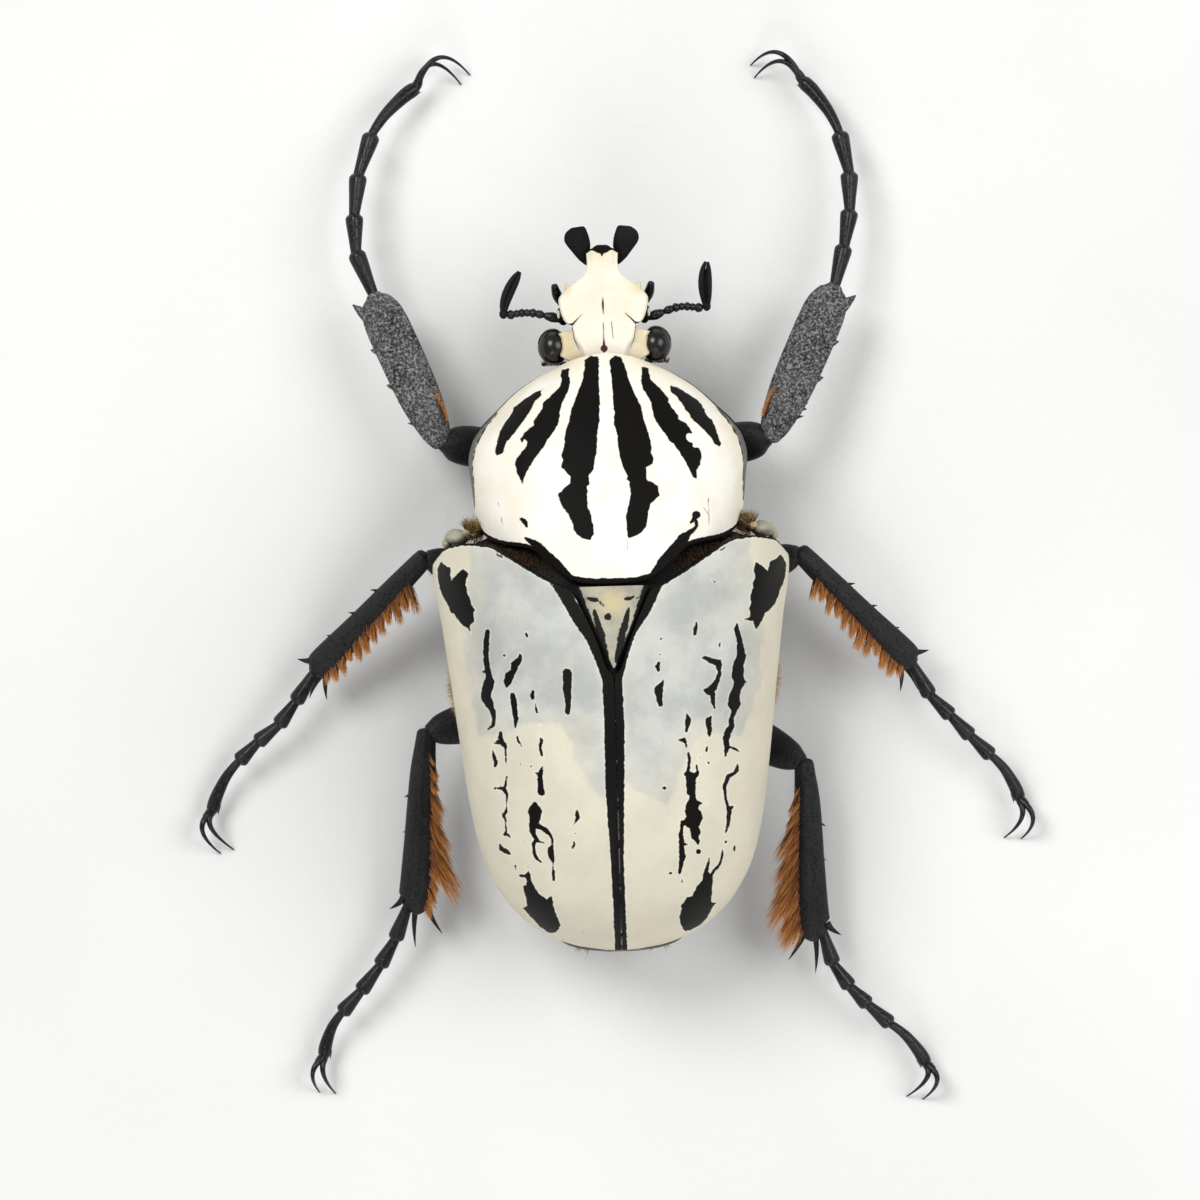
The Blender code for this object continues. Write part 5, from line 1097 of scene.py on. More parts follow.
def build_head():
    """The head in one closed skin from the front edge to the neck."""
    places = np.unique(np.concatenate((np.linspace(-39.35, -24.9, 200), np.linspace(-30.1, -28.8, 30))))
    rings, above, below = [], 150, 44
    angle = np.pi * np.arange(above + 1) / above
    under = np.pi * np.arange(1, below) / below
    for y in places:
        half, case, low = (profile(s)(y) for s in (HEAD_HALF_WIDTH, HEAD_CASE, HEAD_UNDERSIDE))
        case = min(case, half)
        x = half * np.cos(angle)
        edge = head_top(np.array([half]), np.array([y]))[0]
        top = head_top(x, np.full(x.shape, y)) - 0.35 * smooth(np.abs(x) / half, 0.955, 1.0)
        upper = np.stack((x, np.full(x.shape, y), top), -1)
        x = -0.97 * half * np.cos(under)
        bulge = np.maximum(0, 1 - (x / case) ** 2) ** 0.5
        lower = np.stack((x, np.full(x.shape, y), edge - HEAD_RIM - (edge - HEAD_RIM - low) * bulge), -1)
        rings.append(np.concatenate((upper, lower)))
    points, faces = loft(rings)
    x, y, _ = points.T
    below = np.tile(np.arange(len(rings[0])) > above, len(rings))
    sides = [mirrored(streak, side) for side in SIDES.values() for streak in HEAD_SIDE_STREAKS]
    brown = streak_depth(x, y, HEAD_STREAKS + sides)
    front = -38.3 - 0.4 * np.exp(-((np.abs(x) - 1.15) / 0.45) ** 2) + 0.35 * np.exp(-(x / 0.12) ** 2)
    notch = [[(side * 4.9, -29.75, 0.3), (side * 3.8, -29.95, 0.15)] for side in SIDES.values()]
    black = np.maximum(streak_depth(x, y, notch), front - y)
    black = np.where(below, FAR, black)
    canthus = smooth(np.abs(x) - profile(HEAD_PLATE)(y), -0.1, 0.4) * smooth(y, -29.8, -29.4)
    stain = 0.3 + 0.6 * canthus + 0.3 * smooth(-y, 36.0, 38.2) + 0.5 * bump_at(np.abs(x), y, 4.3, -34.3, 0.9)
    shapes = [(points, faces)]
    marks = {"black": [black], "brown": [brown], "stain": [stain], "rim": [np.full(len(x), -FAR)]}
    for side in SIDES.values():
        root, tip, radius = HEAD_SPUR
        extras = [(spine(mirrored(root, side), mirrored(tip, side), radius), -FAR, 0.9),
                  (ball(mirrored(CHEEK[0], side), CHEEK[1]), FAR, 0.0),
                  (ball(mirrored(CHEEK_SPOT[0], side), CHEEK_SPOT[1], 12, 16), -FAR, 0.5)]
        for shape, dark, tan in extras:
            shapes.append(shape)
            for mark, value in (("black", dark), ("brown", -FAR), ("stain", tan), ("rim", -FAR)):
                marks[mark].append(np.full(len(shape[0]), value))
    make_piece("head_shield", shapes, "ivory plate", ["head"],
               {mark: np.concatenate(values) for mark, values in marks.items()}, sharp=45)


def build_horn(word):
    """A flat black lobe that flares from the front corner of the head."""
    side = SIDES[word]
    rings = []
    a = angles(32)
    dish = 1 - 0.55 * np.cos(a) ** 2 - 0.35 * np.exp(-(np.cos(a) / 0.4) ** 2)
    dish[np.sin(a) <= 0] = 1.0
    for inner_x, inner_y, outer_x, outer_y, z, thick in catmull(HORN_RINGS, 6):
        inner, outer = np.array([side * inner_x, inner_y, z]), np.array([side * outer_x, outer_y, z])
        across = outer - inner
        way = unit(np.cross(UP, unit(across)) * -side + UP * HORN_RISE)
        top = np.cross(unit(across), way) * side
        rings.append((inner + outer) / 2 + np.outer(0.5 * np.cos(a), across)
                     + np.outer(thick * np.sin(a) * dish, top))
    make_piece("head_horn_" + word, [loft(rings)], "matt horn", ["horn_" + word])


def build_eye(word):
    """A glossy globe in the side of the head, with a thin ridge round its front."""
    centre = mirrored(EYE_CENTRE, SIDES[word])
    globe = ball(centre, EYE_RADII, 40, 60)
    make_piece("eye_globe_" + word, [globe], "faceted eye", ["eye_" + word])
    turns = np.radians(np.linspace(-112, -10, 15))
    ridge = np.stack((SIDES[word] * np.cos(turns) * 0.97, np.sin(turns), np.full(15, 0.28)), -1) * EYE_RADII
    radii = 0.11 * np.sin(np.linspace(0.25, np.pi - 0.25, 15)) ** 0.5
    ridge = sweep(centre + ridge, radii, radii * 1.6, 10, 2)
    make_piece("eye_ridge_" + word, [ridge], "brown rim")


def build_feeler(word):
    """Root segment, beads and the closed club of three leaves."""
    side = SIDES[word]
    path = np.array([(side * x, y, FEELER_HEIGHT) for x, y in FEELER_PATHS[word]])
    shapes = [sweep([path[0], path[0] * 0.5 + path[1] * 0.5, path[1], path[2] * 0.8 + path[1] * 0.2],
                    [0.3, 0.42, 0.6, 0.42], [0.3, 0.4, 0.55, 0.42], 14)]
    for start, end, wide in zip(path[2:], path[3:], FEELER_BEADS):
        swell = np.array([0.6, 1.0, 0.85]) * wide
        shapes.append(sweep([start, start * 0.55 + end * 0.45, start * 0.08 + end * 0.92], swell, swell, 14))
    make_piece("feeler_" + word, shapes, "smooth horn", ["antenna_" + word])
    path = np.array([(side * x, y, FEELER_HEIGHT) for x, y in CLUB_PATHS[word]])
    half, high = np.array(CLUB_LEAF).T
    across = unit(np.cross(np.gradient(path, axis=0), UP))
    bow = CLUB_BOW[word] * np.sin(np.pi * (0.12 + 0.76 * np.linspace(0, 1, len(path))))
    leaves = [ball(path[0], (0.5, 0.6, 0.55), 12, 16)]
    for number, share in CLUB_LEAVES:
        spots = path + across * bow[:, None] * number - UP * 0.12 * (1 - abs(number))
        spots = path[0] + (spots - path[0]) * share
        leaves.append(sweep(spots, half * (0.55 + 0.45 * abs(number)), high * share, 18, 5))
    make_piece("feeler_club_" + word, leaves, "matt horn", ["antenna_club_" + word])


def build_mouth():
    """Chin plate and the two palps whose tips show beside the head."""
    chin = []
    a = angles(28)
    for y, half, thick in catmull(MOUTH_RINGS, 4):
        top = profile(HEAD_UNDERSIDE)(y) - 0.3
        chin.append(np.stack((half * np.cos(a), np.full(28, y), top - thick + thick * np.sin(a)), -1))
    make_piece("chin_plate", [loft(chin)], "grained horn", ["mouthparts"])
    for word, side in SIDES.items():
        palp = sweep(mirrored(PALP_PATH, side), PALP_RADII, PALP_RADII, 12)
        make_piece("mouth_palp_" + word, [palp], "smooth horn", ["palp_" + word])


def trunk_ring(y, shrink=0.0, above=60, below=80):
    """The trunk's section at y, under the wing cases where they cover it."""
    half = min(profile(THORAX_HALF_WIDTH)(y), profile(CASE_HALF_WIDTH)(y + CASE_LINING) - CASE_LINING)
    half = half - shrink
    crest = min(profile(THORAX_CREST)(y), profile(CASE_CREST)(y) - CASE_LINING) - shrink
    margin = profile(CASE_MARGIN)(y) - 0.2
    low, flank = profile(BODY_UNDERSIDE)(y) + shrink, profile(BODY_FLANK)(y)
    t = np.cos(ring_angles(above, below))
    dome = margin + (crest - margin) * arch(t)
    under = np.maximum(BELLY, margin - (margin - low) * arch(t, (flank, flank)))
    z = np.where(np.arange(above + below) < above, dome, under)
    return np.stack((half * t, np.full(len(t), y), z), -1)


def build_trunk():
    """Thorax, lapped belly plates and the tail plate."""
    keel = ball((0.0, -2.2, BELLY + 0.2), (1.5, 3.4, 1.3))
    rings = [trunk_ring(y) for y in np.linspace(-7.2, WAIST - 0.15, 60)]
    make_piece("thorax_shell", [loft(rings), keel], "matt horn", ["thorax"])
    rings = []
    for y in np.linspace(WAIST + 0.15, ABDOMEN_END, 110):
        near = min(abs(y - seam) for seam in BELLY_SEAMS)
        rings.append(trunk_ring(y, 0.3 * math.exp(-(near / 0.22) ** 2) + 0.3 * smooth(y, 40.6, ABDOMEN_END)))
    make_piece("abdomen_shell", [loft(rings)], "polished belly", ["abdomen"])
    half, high, middle = TAIL_SIZE
    a = angles(60)
    rings = []
    for deep, size in catmull(TAIL_RINGS, 5):
        rings.append(np.stack((half * size * np.cos(a), np.full(60, ABDOMEN_END + 0.3 + deep),
                               middle - 0.2 * deep + high * size * np.sin(a)), -1))
    make_piece("tail_plate", [loft(rings)], "polished belly", ["pygidium"])


def build_small_plates():
    """The three-cornered plate between the wing cases and the pale side plates at the shoulders."""
    front, tip, half = SCUTELLUM
    s = np.linspace(0, 0.985, 60)[:, None]
    across = np.sin(np.pi / 2 * np.linspace(-1, 1, 41))[None]
    y = front + (tip - front) * s + 0 * across
    x = half * (1 - s) ** 0.9 * across
    top = profile(CASE_CREST)(y) - 0.05 - 0.5 * np.abs(across) ** 8 - 0.25 * (x / half) ** 2 + 0.1 * s
    upper = np.stack((x, y, top), -1)
    lower = np.stack((x * 0.96, y, top - 0.6), -1)[:, ::-1]
    points, faces = loft(np.concatenate((upper, lower), 1))
    x, y = points[:, 0], points[:, 1]
    edge = np.concatenate((np.abs(across).repeat(60, 0), np.abs(across).repeat(60, 0)), 1).ravel()
    black = np.maximum(streak_depth(x, y, SCUTELLUM_STREAKS), 0.4 * (edge - 0.86) / 0.14)
    stain = bump_at(x, y, 0.0, 2.6, 1.7)
    make_piece("scutellum_plate", [(points, faces)], "pale plate", ["scutellum"],
               {"black": black, "stain": stain})
    for word, side in SIDES.items():
        shapes, stains = [], []
        for (x, y, z), radii, stained in SHOULDER_LUMPS:
            shapes.append(ball((side * x, y, z), radii, 40, 60))
            points = shapes[-1][0]
            x, y, z = points.T
            points[:, 1] += 0.12 * np.sin(2.1 * x + 0.7) * np.sin(1.7 * z)
            points[:, 2] += 0.18 * np.sin(1.3 * x + side) * np.cos(2.2 * y)
            stains.append(stained + 0.5 * smooth(16.5 - z, -1.0, 2.0))
        stain = np.concatenate(stains)
        marks = {"black": np.full(len(stain), -FAR), "stain": np.minimum(stain, 1.0)}
        make_piece("shoulder_plate_" + word, shapes, "pale plate",
                   ["mesepimeron_" + word], marks)


def leg_points(leg):
    """Joint places of a leg, hip first."""
    return np.column_stack((LEG_PLANS[leg], LEG_HEIGHTS[leg.split("_")[0]]))


def leg_frame(leg):
    """The shin's way along, its way to the fringed inner edge, and its length."""
    kind = leg.split("_")[0]
    knee, ankle = leg_points(leg)[1:3]
    along = unit(ankle - knee)
    inner = unit(np.cross(along, UP))
    if np.dot(inner, (-knee[0], 20.0 if kind == "mid" else 0.0, 0.0)) < 0:
        inner = -inner
    return along, inner, np.linalg.norm(ankle - knee)


def shin_bow(leg, share):
    """How far the shin's middle lies inwards of the line from knee to ankle."""
    return SHIN_BOW.get(leg, 0.0) * profile(SHIN_BOW_SHARE)(share)


def shin_section(a):
    """Ridges and a groove along a shin."""
    return 1 + 0.05 * np.cos(4 * a + 0.6) - 0.09 * np.exp(-((a - 1.75) / 0.22) ** 2)


def outwards(way, place):
    """The level way across a limb, away from the body."""
    across = unit(np.cross(way, UP))
    return across * (1 if across[0] * place[0] > 0 else -1)


def limb(path, stations, count, section):
    """A thigh or shin through stations of share, half width and half height."""
    _, widths, heights = zip(*stations)
    return sweep(path, widths, heights, count, 6, section=section)


def fore_shin_relief(leg, knee, ankle, along, length):
    """Teeth, edge spines and grains of a fore shin."""
    outer = outwards(along, ankle)
    shapes = [spine(ankle - along * 2.8 + outer, ankle + outer * 2.7 + along * 0.1, 1.1, along * -0.15, 12)]
    for s in TEETH:
        root = knee + along * length * s + outer * 1.5
        tip = knee + along * (length * s + 0.9) + outer * 3.0
        shapes.append(spine(root, tip, 0.62, outer * 0.15))
    rng = np.random.default_rng(LEGS.index(leg) + 90)
    for s in np.arange(*EDGE_SPINES):
        spot = knee + along * (length * s + rng.uniform(-0.2, 0.2))
        tip = spot + outer * rng.uniform(2.3, 2.75) + along * rng.uniform(0.2, 0.6)
        shapes.append(spine(spot + outer * 1.9, tip, rng.uniform(0.18, 0.32)))
    for s, off, size in scatter(rng, GRANULES, (0.06, -0.85, 0.1), (0.95, 1.0, 0.19)):
        wide, high = (profile([(p, station[i]) for p, *station in TIBIAE_WHOLE["fore"]])(s) for i in (0, 1))
        lift = high * (1 - min(abs(off), 0.97) ** 2) ** 0.5
        spot = knee + along * length * s + outer * off * wide + UP * (lift - 0.3 * size)
        shapes.append(ball(spot, (size, size, size), 6, 8))
    return shapes


def build_leg(leg):
    """Hip, thigh and shin with its spines."""
    kind, word = leg.split("_")
    side = SIDES[word]
    hip, knee, ankle = leg_points(leg)[:3]
    x, y, wide, long = COXA_ROOTS[kind]
    root = np.array([side * x, y, BELLY - 0.3])
    path = [root + UP * 1.2, root, root * 0.6 + hip * 0.4 - UP * 0.4, hip]
    shape = sweep(path, [long, long, long * 0.85, HIP[0]], [wide, wide, wide * 0.9, HIP[1]], 28, 5,
                  across=np.array([0.0, -side, 0.0]))
    make_piece("hip_" + leg, [shape], "grained horn", ["coxa_" + leg])
    stations = [(0.0, *HIP)] + FEMORA[kind] + [(0.97, *KNEE)]
    path = [hip + (knee - hip) * s for s, _, _ in stations]
    thigh = limb(path, stations, 32, lambda a: 1 + 0.03 * np.cos(3 * a))
    make_piece("thigh_" + leg, [thigh], "grained horn", ["femur_" + leg])
    along, inner, length = leg_frame(leg)
    stations = TIBIAE_WHOLE[kind]
    path = [knee + (ankle - knee) * s + inner * shin_bow(leg, s) * (s < 1) for s, _, _ in stations]
    if kind == "fore":
        shapes = [limb(path, stations, 40, lambda a: 1 + 0.05 * np.cos(6 * a) + 0.03 * np.cos(2 * a))]
        shapes += fore_shin_relief(leg, knee, ankle, along, length)
    else:
        shapes = [limb(path, stations, 40, shin_section)]
        end = ankle - along
        for off, out, past, drop, radius in SPURS[kind]:
            tip = ankle + inner * out + along * past - UP * drop
            root = end + inner * off - UP * drop * 0.4
            shapes.append(spine(root, tip, radius, inner * -0.25 * np.sign(out), 12))
        for s in SHIN_SPINES:
            spot = knee + along * length * s + inner * shin_bow(leg, s)
            shapes.append(spine(spot - inner * 1.1, spot + along * 0.7 - inner * 2.0, 0.22))
    look, slot = ("granular horn", "black_horn") if kind == "fore" else ("grained horn", "fringed_leg")
    make_piece("shin_" + leg, shapes, look, ["tibia_" + leg])


def build_foot(leg):
    """Five foot segments with corner spines, and the pair of claws."""
    joints = leg_points(leg)[2:]
    shapes = []
    share, half = np.array(TARSOMERE).T
    for i, (start, end) in enumerate(zip(joints, joints[1:])):
        way = end - start
        outward = outwards(way, end)
        last = i == 4
        wide = FOOT_STOUTNESS[leg.split("_")[0]] * (CLAW_SEGMENT_STOUTNESS if last else 1.0) * half
        bow = CLAW_SEGMENT_BOW * 4 * share * (1 - share) if last else 0 * share
        path = start + np.outer(share, way) + np.outer(bow, outward) - np.outer(FOOT_SAG * share ** 2, UP)
        shapes.append(sweep(path, wide, wide * 0.9, 20, 4, (0.4, 0.35),
                            section=lambda a: 1 + 0.08 * np.cos(4 * a)))
        corner = start + way * 0.84 - UP * 0.35
        for turn in (-1, 1):
            tip = start + way * 1.02 + outward * turn * 0.78 - UP * 0.75
            shapes.append(spine(corner + outward * turn * 0.45, tip, 0.13))
    make_piece("foot_" + leg, shapes, "smooth horn", ["tarsus_" + leg])
    turn, tip, off = CLAW_PLANS[leg]
    root = joints[-1]
    turn, tip = np.array([*turn, root[2] + CLAW_BEND_RISE]), np.array([*tip, CLAW_TIP_HEIGHT])
    off = np.array([*off, 0.0])
    turn = turn + (turn - (root + tip) / 2) * 0.75
    way = unit(turn - root)
    s = np.linspace(0, 1, 9)[:, None]
    path = [root - way * 0.2, root + way * 0.5, root + way * 1.3]
    shapes = [sweep(path, [0.5, 0.6, 0.42], [0.5, 0.58, 0.42], 16)]
    for spread in (0.0, 1.0):
        start, middle = root + way * 0.6 + off * spread * 0.2, turn + off * spread * 0.8
        path = start * (1 - s) ** 2 + middle * 2 * s * (1 - s) + (tip + off * spread) * s * s
        thick = CLAW_THICKNESS * (1 - CLAW_TAPER * s[:, 0] ** 1.3)
        points, faces = sweep(path, thick * 0.85, thick, 14, 3, (0.5, 0.6))
        points[:, 2] = np.maximum(points[:, 2], 0.02)
        shapes.append((points, faces))
    make_piece("claw_pair_" + leg, shapes, "smooth horn", ["claws_" + leg])


def build_comb(leg, settings):
    """The orange comb of hair along a shin's inner edge, drawn together into pointed locks."""
    rng = np.random.default_rng(LEGS.index(leg) + 40)
    kind = leg.split("_")[0]
    knee = leg_points(leg)[1]
    along, inner, length = leg_frame(leg)
    stations, lean = FRINGES[leg]
    count = int(settings.comb_hairs)
    share = rng.uniform(stations[0][0] - 0.03, stations[-1][0] + 0.02, count)
    locks = settings.comb_locks
    lock = np.floor(share * locks + rng.normal(0, 0.1, count))
    centre = (lock + 0.5) / locks
    off = np.clip(2 * (share - centre) * locks, -1, 1)
    loose = rng.random(count)
    half = profile([(s, w) for s, w, _ in TIBIAE[kind]])(share)
    high = rng.random(count) < COMB_UPPER
    root = knee + np.outer(share * length, along)
    root += np.outer(half + shin_bow(leg, share) - np.where(high, 0.8, 0.35), inner)
    root += np.outer(np.where(high, rng.uniform(0.6, 0.95, count), rng.uniform(-0.75, 0.55, count)), UP)
    root -= np.outer(0.3 * np.abs(rng.normal(size=count)), inner)
    way = inner + along * lean + rng.normal(0, 0.09, (count, 3))
    lock_size = 0.8 + 0.28 * np.sin(lock * 2.4 + lock ** 2)
    tall = np.where(high, COMB_UPPER, 0.0)
    reach = (profile(stations)(share) * lock_size + tall) * np.linalg.norm(inner + along * lean)
    short = rng.uniform(0.4, 0.8, count)
    reach *= np.where(loose < COMB_LOOSE, short, rng.uniform(0.92, 1.03, count) - 0.65 * off ** 2)
    draw = (centre - share) * length * COMB_PULL * (loose > COMB_STRAY)
    bend = np.outer(draw + 0.3, along) + np.outer(rng.normal(-0.1, 0.15, count), UP)
    places = np.column_stack((share, 0.5 + 0.2 * rng.random(count)))
    thick = rng.uniform(0.05, 0.085, count) * settings.thickness
    make_coat("hair_comb_" + leg, [(root, way, reach + 0.35, thick, bend, places)], "comb hair")


def tufts(rng, root, way, place, wild, lengths, radii, curl):
    """Tufts that stray at random in their direction, length, thickness and bend."""
    count = len(root)
    way = way + rng.normal(0, wild, (count, 3))
    return (root, way, rng.uniform(*lengths, count), rng.uniform(*radii, count),
            rng.normal(0, curl, (count, 3)), place)


def shoulder_hair(rng, side, count):
    """Tufts on the inner lump of a shoulder, pointing forwards and outwards."""
    centre, radii, _ = SHOULDER_LUMPS[1]
    a, b = scatter(rng, count, (0.4 * np.pi, 0.0), (1.75 * np.pi, 1.3)).T
    shell = np.column_stack((side * np.cos(a) * np.cos(b), np.sin(a) * np.cos(b), np.sin(b)))
    root = mirrored(centre, side) + shell * radii * 0.97
    way = shell * (0.5, 0.5, 0.3) + (side * 0.12, -0.8, 0.2)
    place = np.column_stack((0.05 + 0.05 * b, 0.5 + side * 0.4 + 0.01 * a))
    return tufts(rng, root, way, place, 0.25, (0.6, 1.5), (0.045, 0.07), 0.2)


def flank_hair(rng, side, count):
    """Golden pile below the side of a wing case, longest in its middle."""
    drop, spread = scatter(rng, count, (0.0, -1.0), (1.0, 1.0)).T
    y = np.clip(rng.normal(12.0, 5.0, count), -2.0, 25.0)
    half = profile(CASE_HALF_WIDTH)(y) - 1.6 - 0.5 * drop
    root = np.column_stack((side * half, y, profile(CASE_MARGIN)(y) - 0.3 - 2.4 * drop))
    fall = -0.25 + 0.2 * rng.normal(size=count)
    way = np.column_stack((np.full(count, side), 0.35 + 0.3 * spread, fall))
    long = (0.9 + 1.7 * np.exp(-((y - 12.0) / 4.5) ** 2)) * rng.uniform(0.7, 1.05, count)
    bend = np.column_stack((np.zeros(count), 0.2 * spread, np.full(count, -0.3)))
    place = np.column_stack(((y + 10) / 60, 0.5 + side * (0.25 + 0.1 * drop)))
    return root, way, long, rng.uniform(0.05, 0.08, count), bend, place


def tail_hair(rng, count):
    """Golden pile at the end of the body."""
    root = scatter(rng, count, (-5.5, 42.6, 11.6), (5.5, 43.2, 13.2))
    way = np.column_stack((root[:, 0] * 0.06, np.ones(count), 0.2 + 0 * root[:, 0]))
    place = np.column_stack((np.full(count, 0.95), 0.5 + root[:, 0] * 0.03))
    return tufts(rng, root, way, place, 0.25, (0.4, 0.9), (0.04, 0.06), 0.2)


def joint_hair(rng, side, count):
    """Brown pile in the joint behind the back plate; its dark brown is partly painted shade of the recess."""
    t, high, spread = scatter(rng, count, (0.25, 0.0, -1.0), (0.98, 1.0, 1.0)).T
    y = profile(BACK_REAR)(t) + 0.15 + 1.3 * high
    x = 15.6 * t + 1.1 * high * t
    z = 18.2 + (27.6 - 18.2) * arch(np.minimum(t, 0.999), BACK_BULGE) - 0.9
    way = np.column_stack((side * (0.3 + 0.3 * spread), np.full(count, 0.5), np.full(count, 0.75)))
    place = np.column_stack((0.05 + 0.1 * high, 0.5 + side * t * 0.3))
    return tufts(rng, np.column_stack((side * x, y, z)), way, place, 0.2, (0.7, 1.5), (0.04, 0.07), 0.2)


def neck_hair(rng, side, count):
    """Brown pile below the front corners of the back plate."""
    a, high = scatter(rng, count, (-0.9, 0.0), (0.9, 1.0)).T
    root = np.column_stack((side * (6.0 + 1.6 * a), -25.3 - 0.2 * high, 13.4 + 2.0 * high))
    way = np.column_stack((side * 0.3 + 0.2 * a, np.full(count, -1.0), np.full(count, 0.45)))
    place = np.column_stack((0.01 + 0.04 * high, 0.5 + side * 0.2 + 0.1 * a))
    return tufts(rng, root, way, place, 0.2, (0.3, 0.7), (0.04, 0.06), 0.15)


def breast_hair(rng, count):
    """Golden pile on the underside of the thorax."""
    y, x = scatter(rng, count, (-23.0, -1.0), (15.0, 1.0)).T
    front = y < -8.0
    half = np.where(front, 12.5 - 0.3 * np.abs(y + 14), 15.5)
    low = np.where(front, 7.2, 7.5) + 5.0 * np.abs(x) ** 3
    root = np.column_stack((half * x, y, low + 0.4))
    way = np.column_stack((0.5 * x, np.full(count, 0.8), np.full(count, -0.45)))
    place = np.column_stack(((y + 30) / 60, 0.5 + 0.35 * x))
    return tufts(rng, root, way, place, 0.2, (0.9, 1.7), (0.05, 0.08), 0.2)


def build_body_hair():
    """Pile of the flanks and the tail, of the joints round the back plate, and of the breast."""
    rng = np.random.default_rng(7)
    parts = []
    for side in SIDES.values():
        parts += [flank_hair(rng, side, FLANK_TUFTS), shoulder_hair(rng, side, SHOULDER_TUFTS[0])]
    parts.append(tail_hair(rng, TAIL_TUFTS))
    make_coat("hair_flanks", parts, "gold hair")
    parts = [joint_hair(rng, side, JOINT_TUFTS) for side in SIDES.values()]
    for side in SIDES.values():
        parts += [neck_hair(rng, side, NECK_TUFTS), shoulder_hair(rng, side, SHOULDER_TUFTS[1])]
    make_coat("hair_joints", parts, "brown hair")
    make_coat("hair_breast", [breast_hair(rng, BREAST_TUFTS)], "gold hair")


def build_leg_hair():
    """Short hair: the streak inside each fore shin and rows under the thighs."""
    rng = np.random.default_rng(11)
    parts = []
    for number, leg in enumerate(LEGS):
        hip, knee = leg_points(leg)[:2]
        along, inner, length = leg_frame(leg)
        thigh, size = unit(knee - hip), np.linalg.norm(knee - hip)
        behind = unit(np.cross(thigh, UP))
        behind = behind * (1 if behind[1] > 0 else -1)
        rows = [(hip, thigh, behind, size, 0.1, 0.9, 1.75, 260, 0.8, 0.2),
                (hip, thigh, -behind, size, 0.1, 0.9, 1.75, 160, 0.7, 0.2)]
        if leg.startswith("fore"):
            rows.insert(0, (knee, along, inner, length, 0.1, 0.28, 1.95, 420, 0.62, 0.85))
        for start, way, out, size, first, last, off, count, long, top in rows:
            s = rng.uniform(first, last, count)
            swell = np.sin(np.pi * (s - first + 0.15) / (last - first + 0.3))
            root = start + np.outer(s * size, way) + np.outer((off - 0.35) * (0.55 + 0.45 * swell), out)
            root += np.outer(rng.uniform(top - 0.9, top, count), UP)
            aim = out + way * 0.6 + rng.normal(0, 0.2, (count, 3))
            place = np.column_stack((0.1 + 0.14 * number + 0.1 * s, 0.3 + 0.4 * rng.random(count)))
            parts.append((root, aim, long * rng.uniform(0.6, 1.2, count), rng.uniform(0.035, 0.06, count),
                          rng.normal(0, 0.12, (count, 3)), place))
    make_coat("hair_legs", parts, "comb hair")


def tone(name, words, red, green, blue):
    """A colour setting."""
    return FloatVectorProperty(name=name, description=words, subtype="COLOR", size=4, min=0.0, max=1.0,
                               default=(red, green, blue, 1.0))


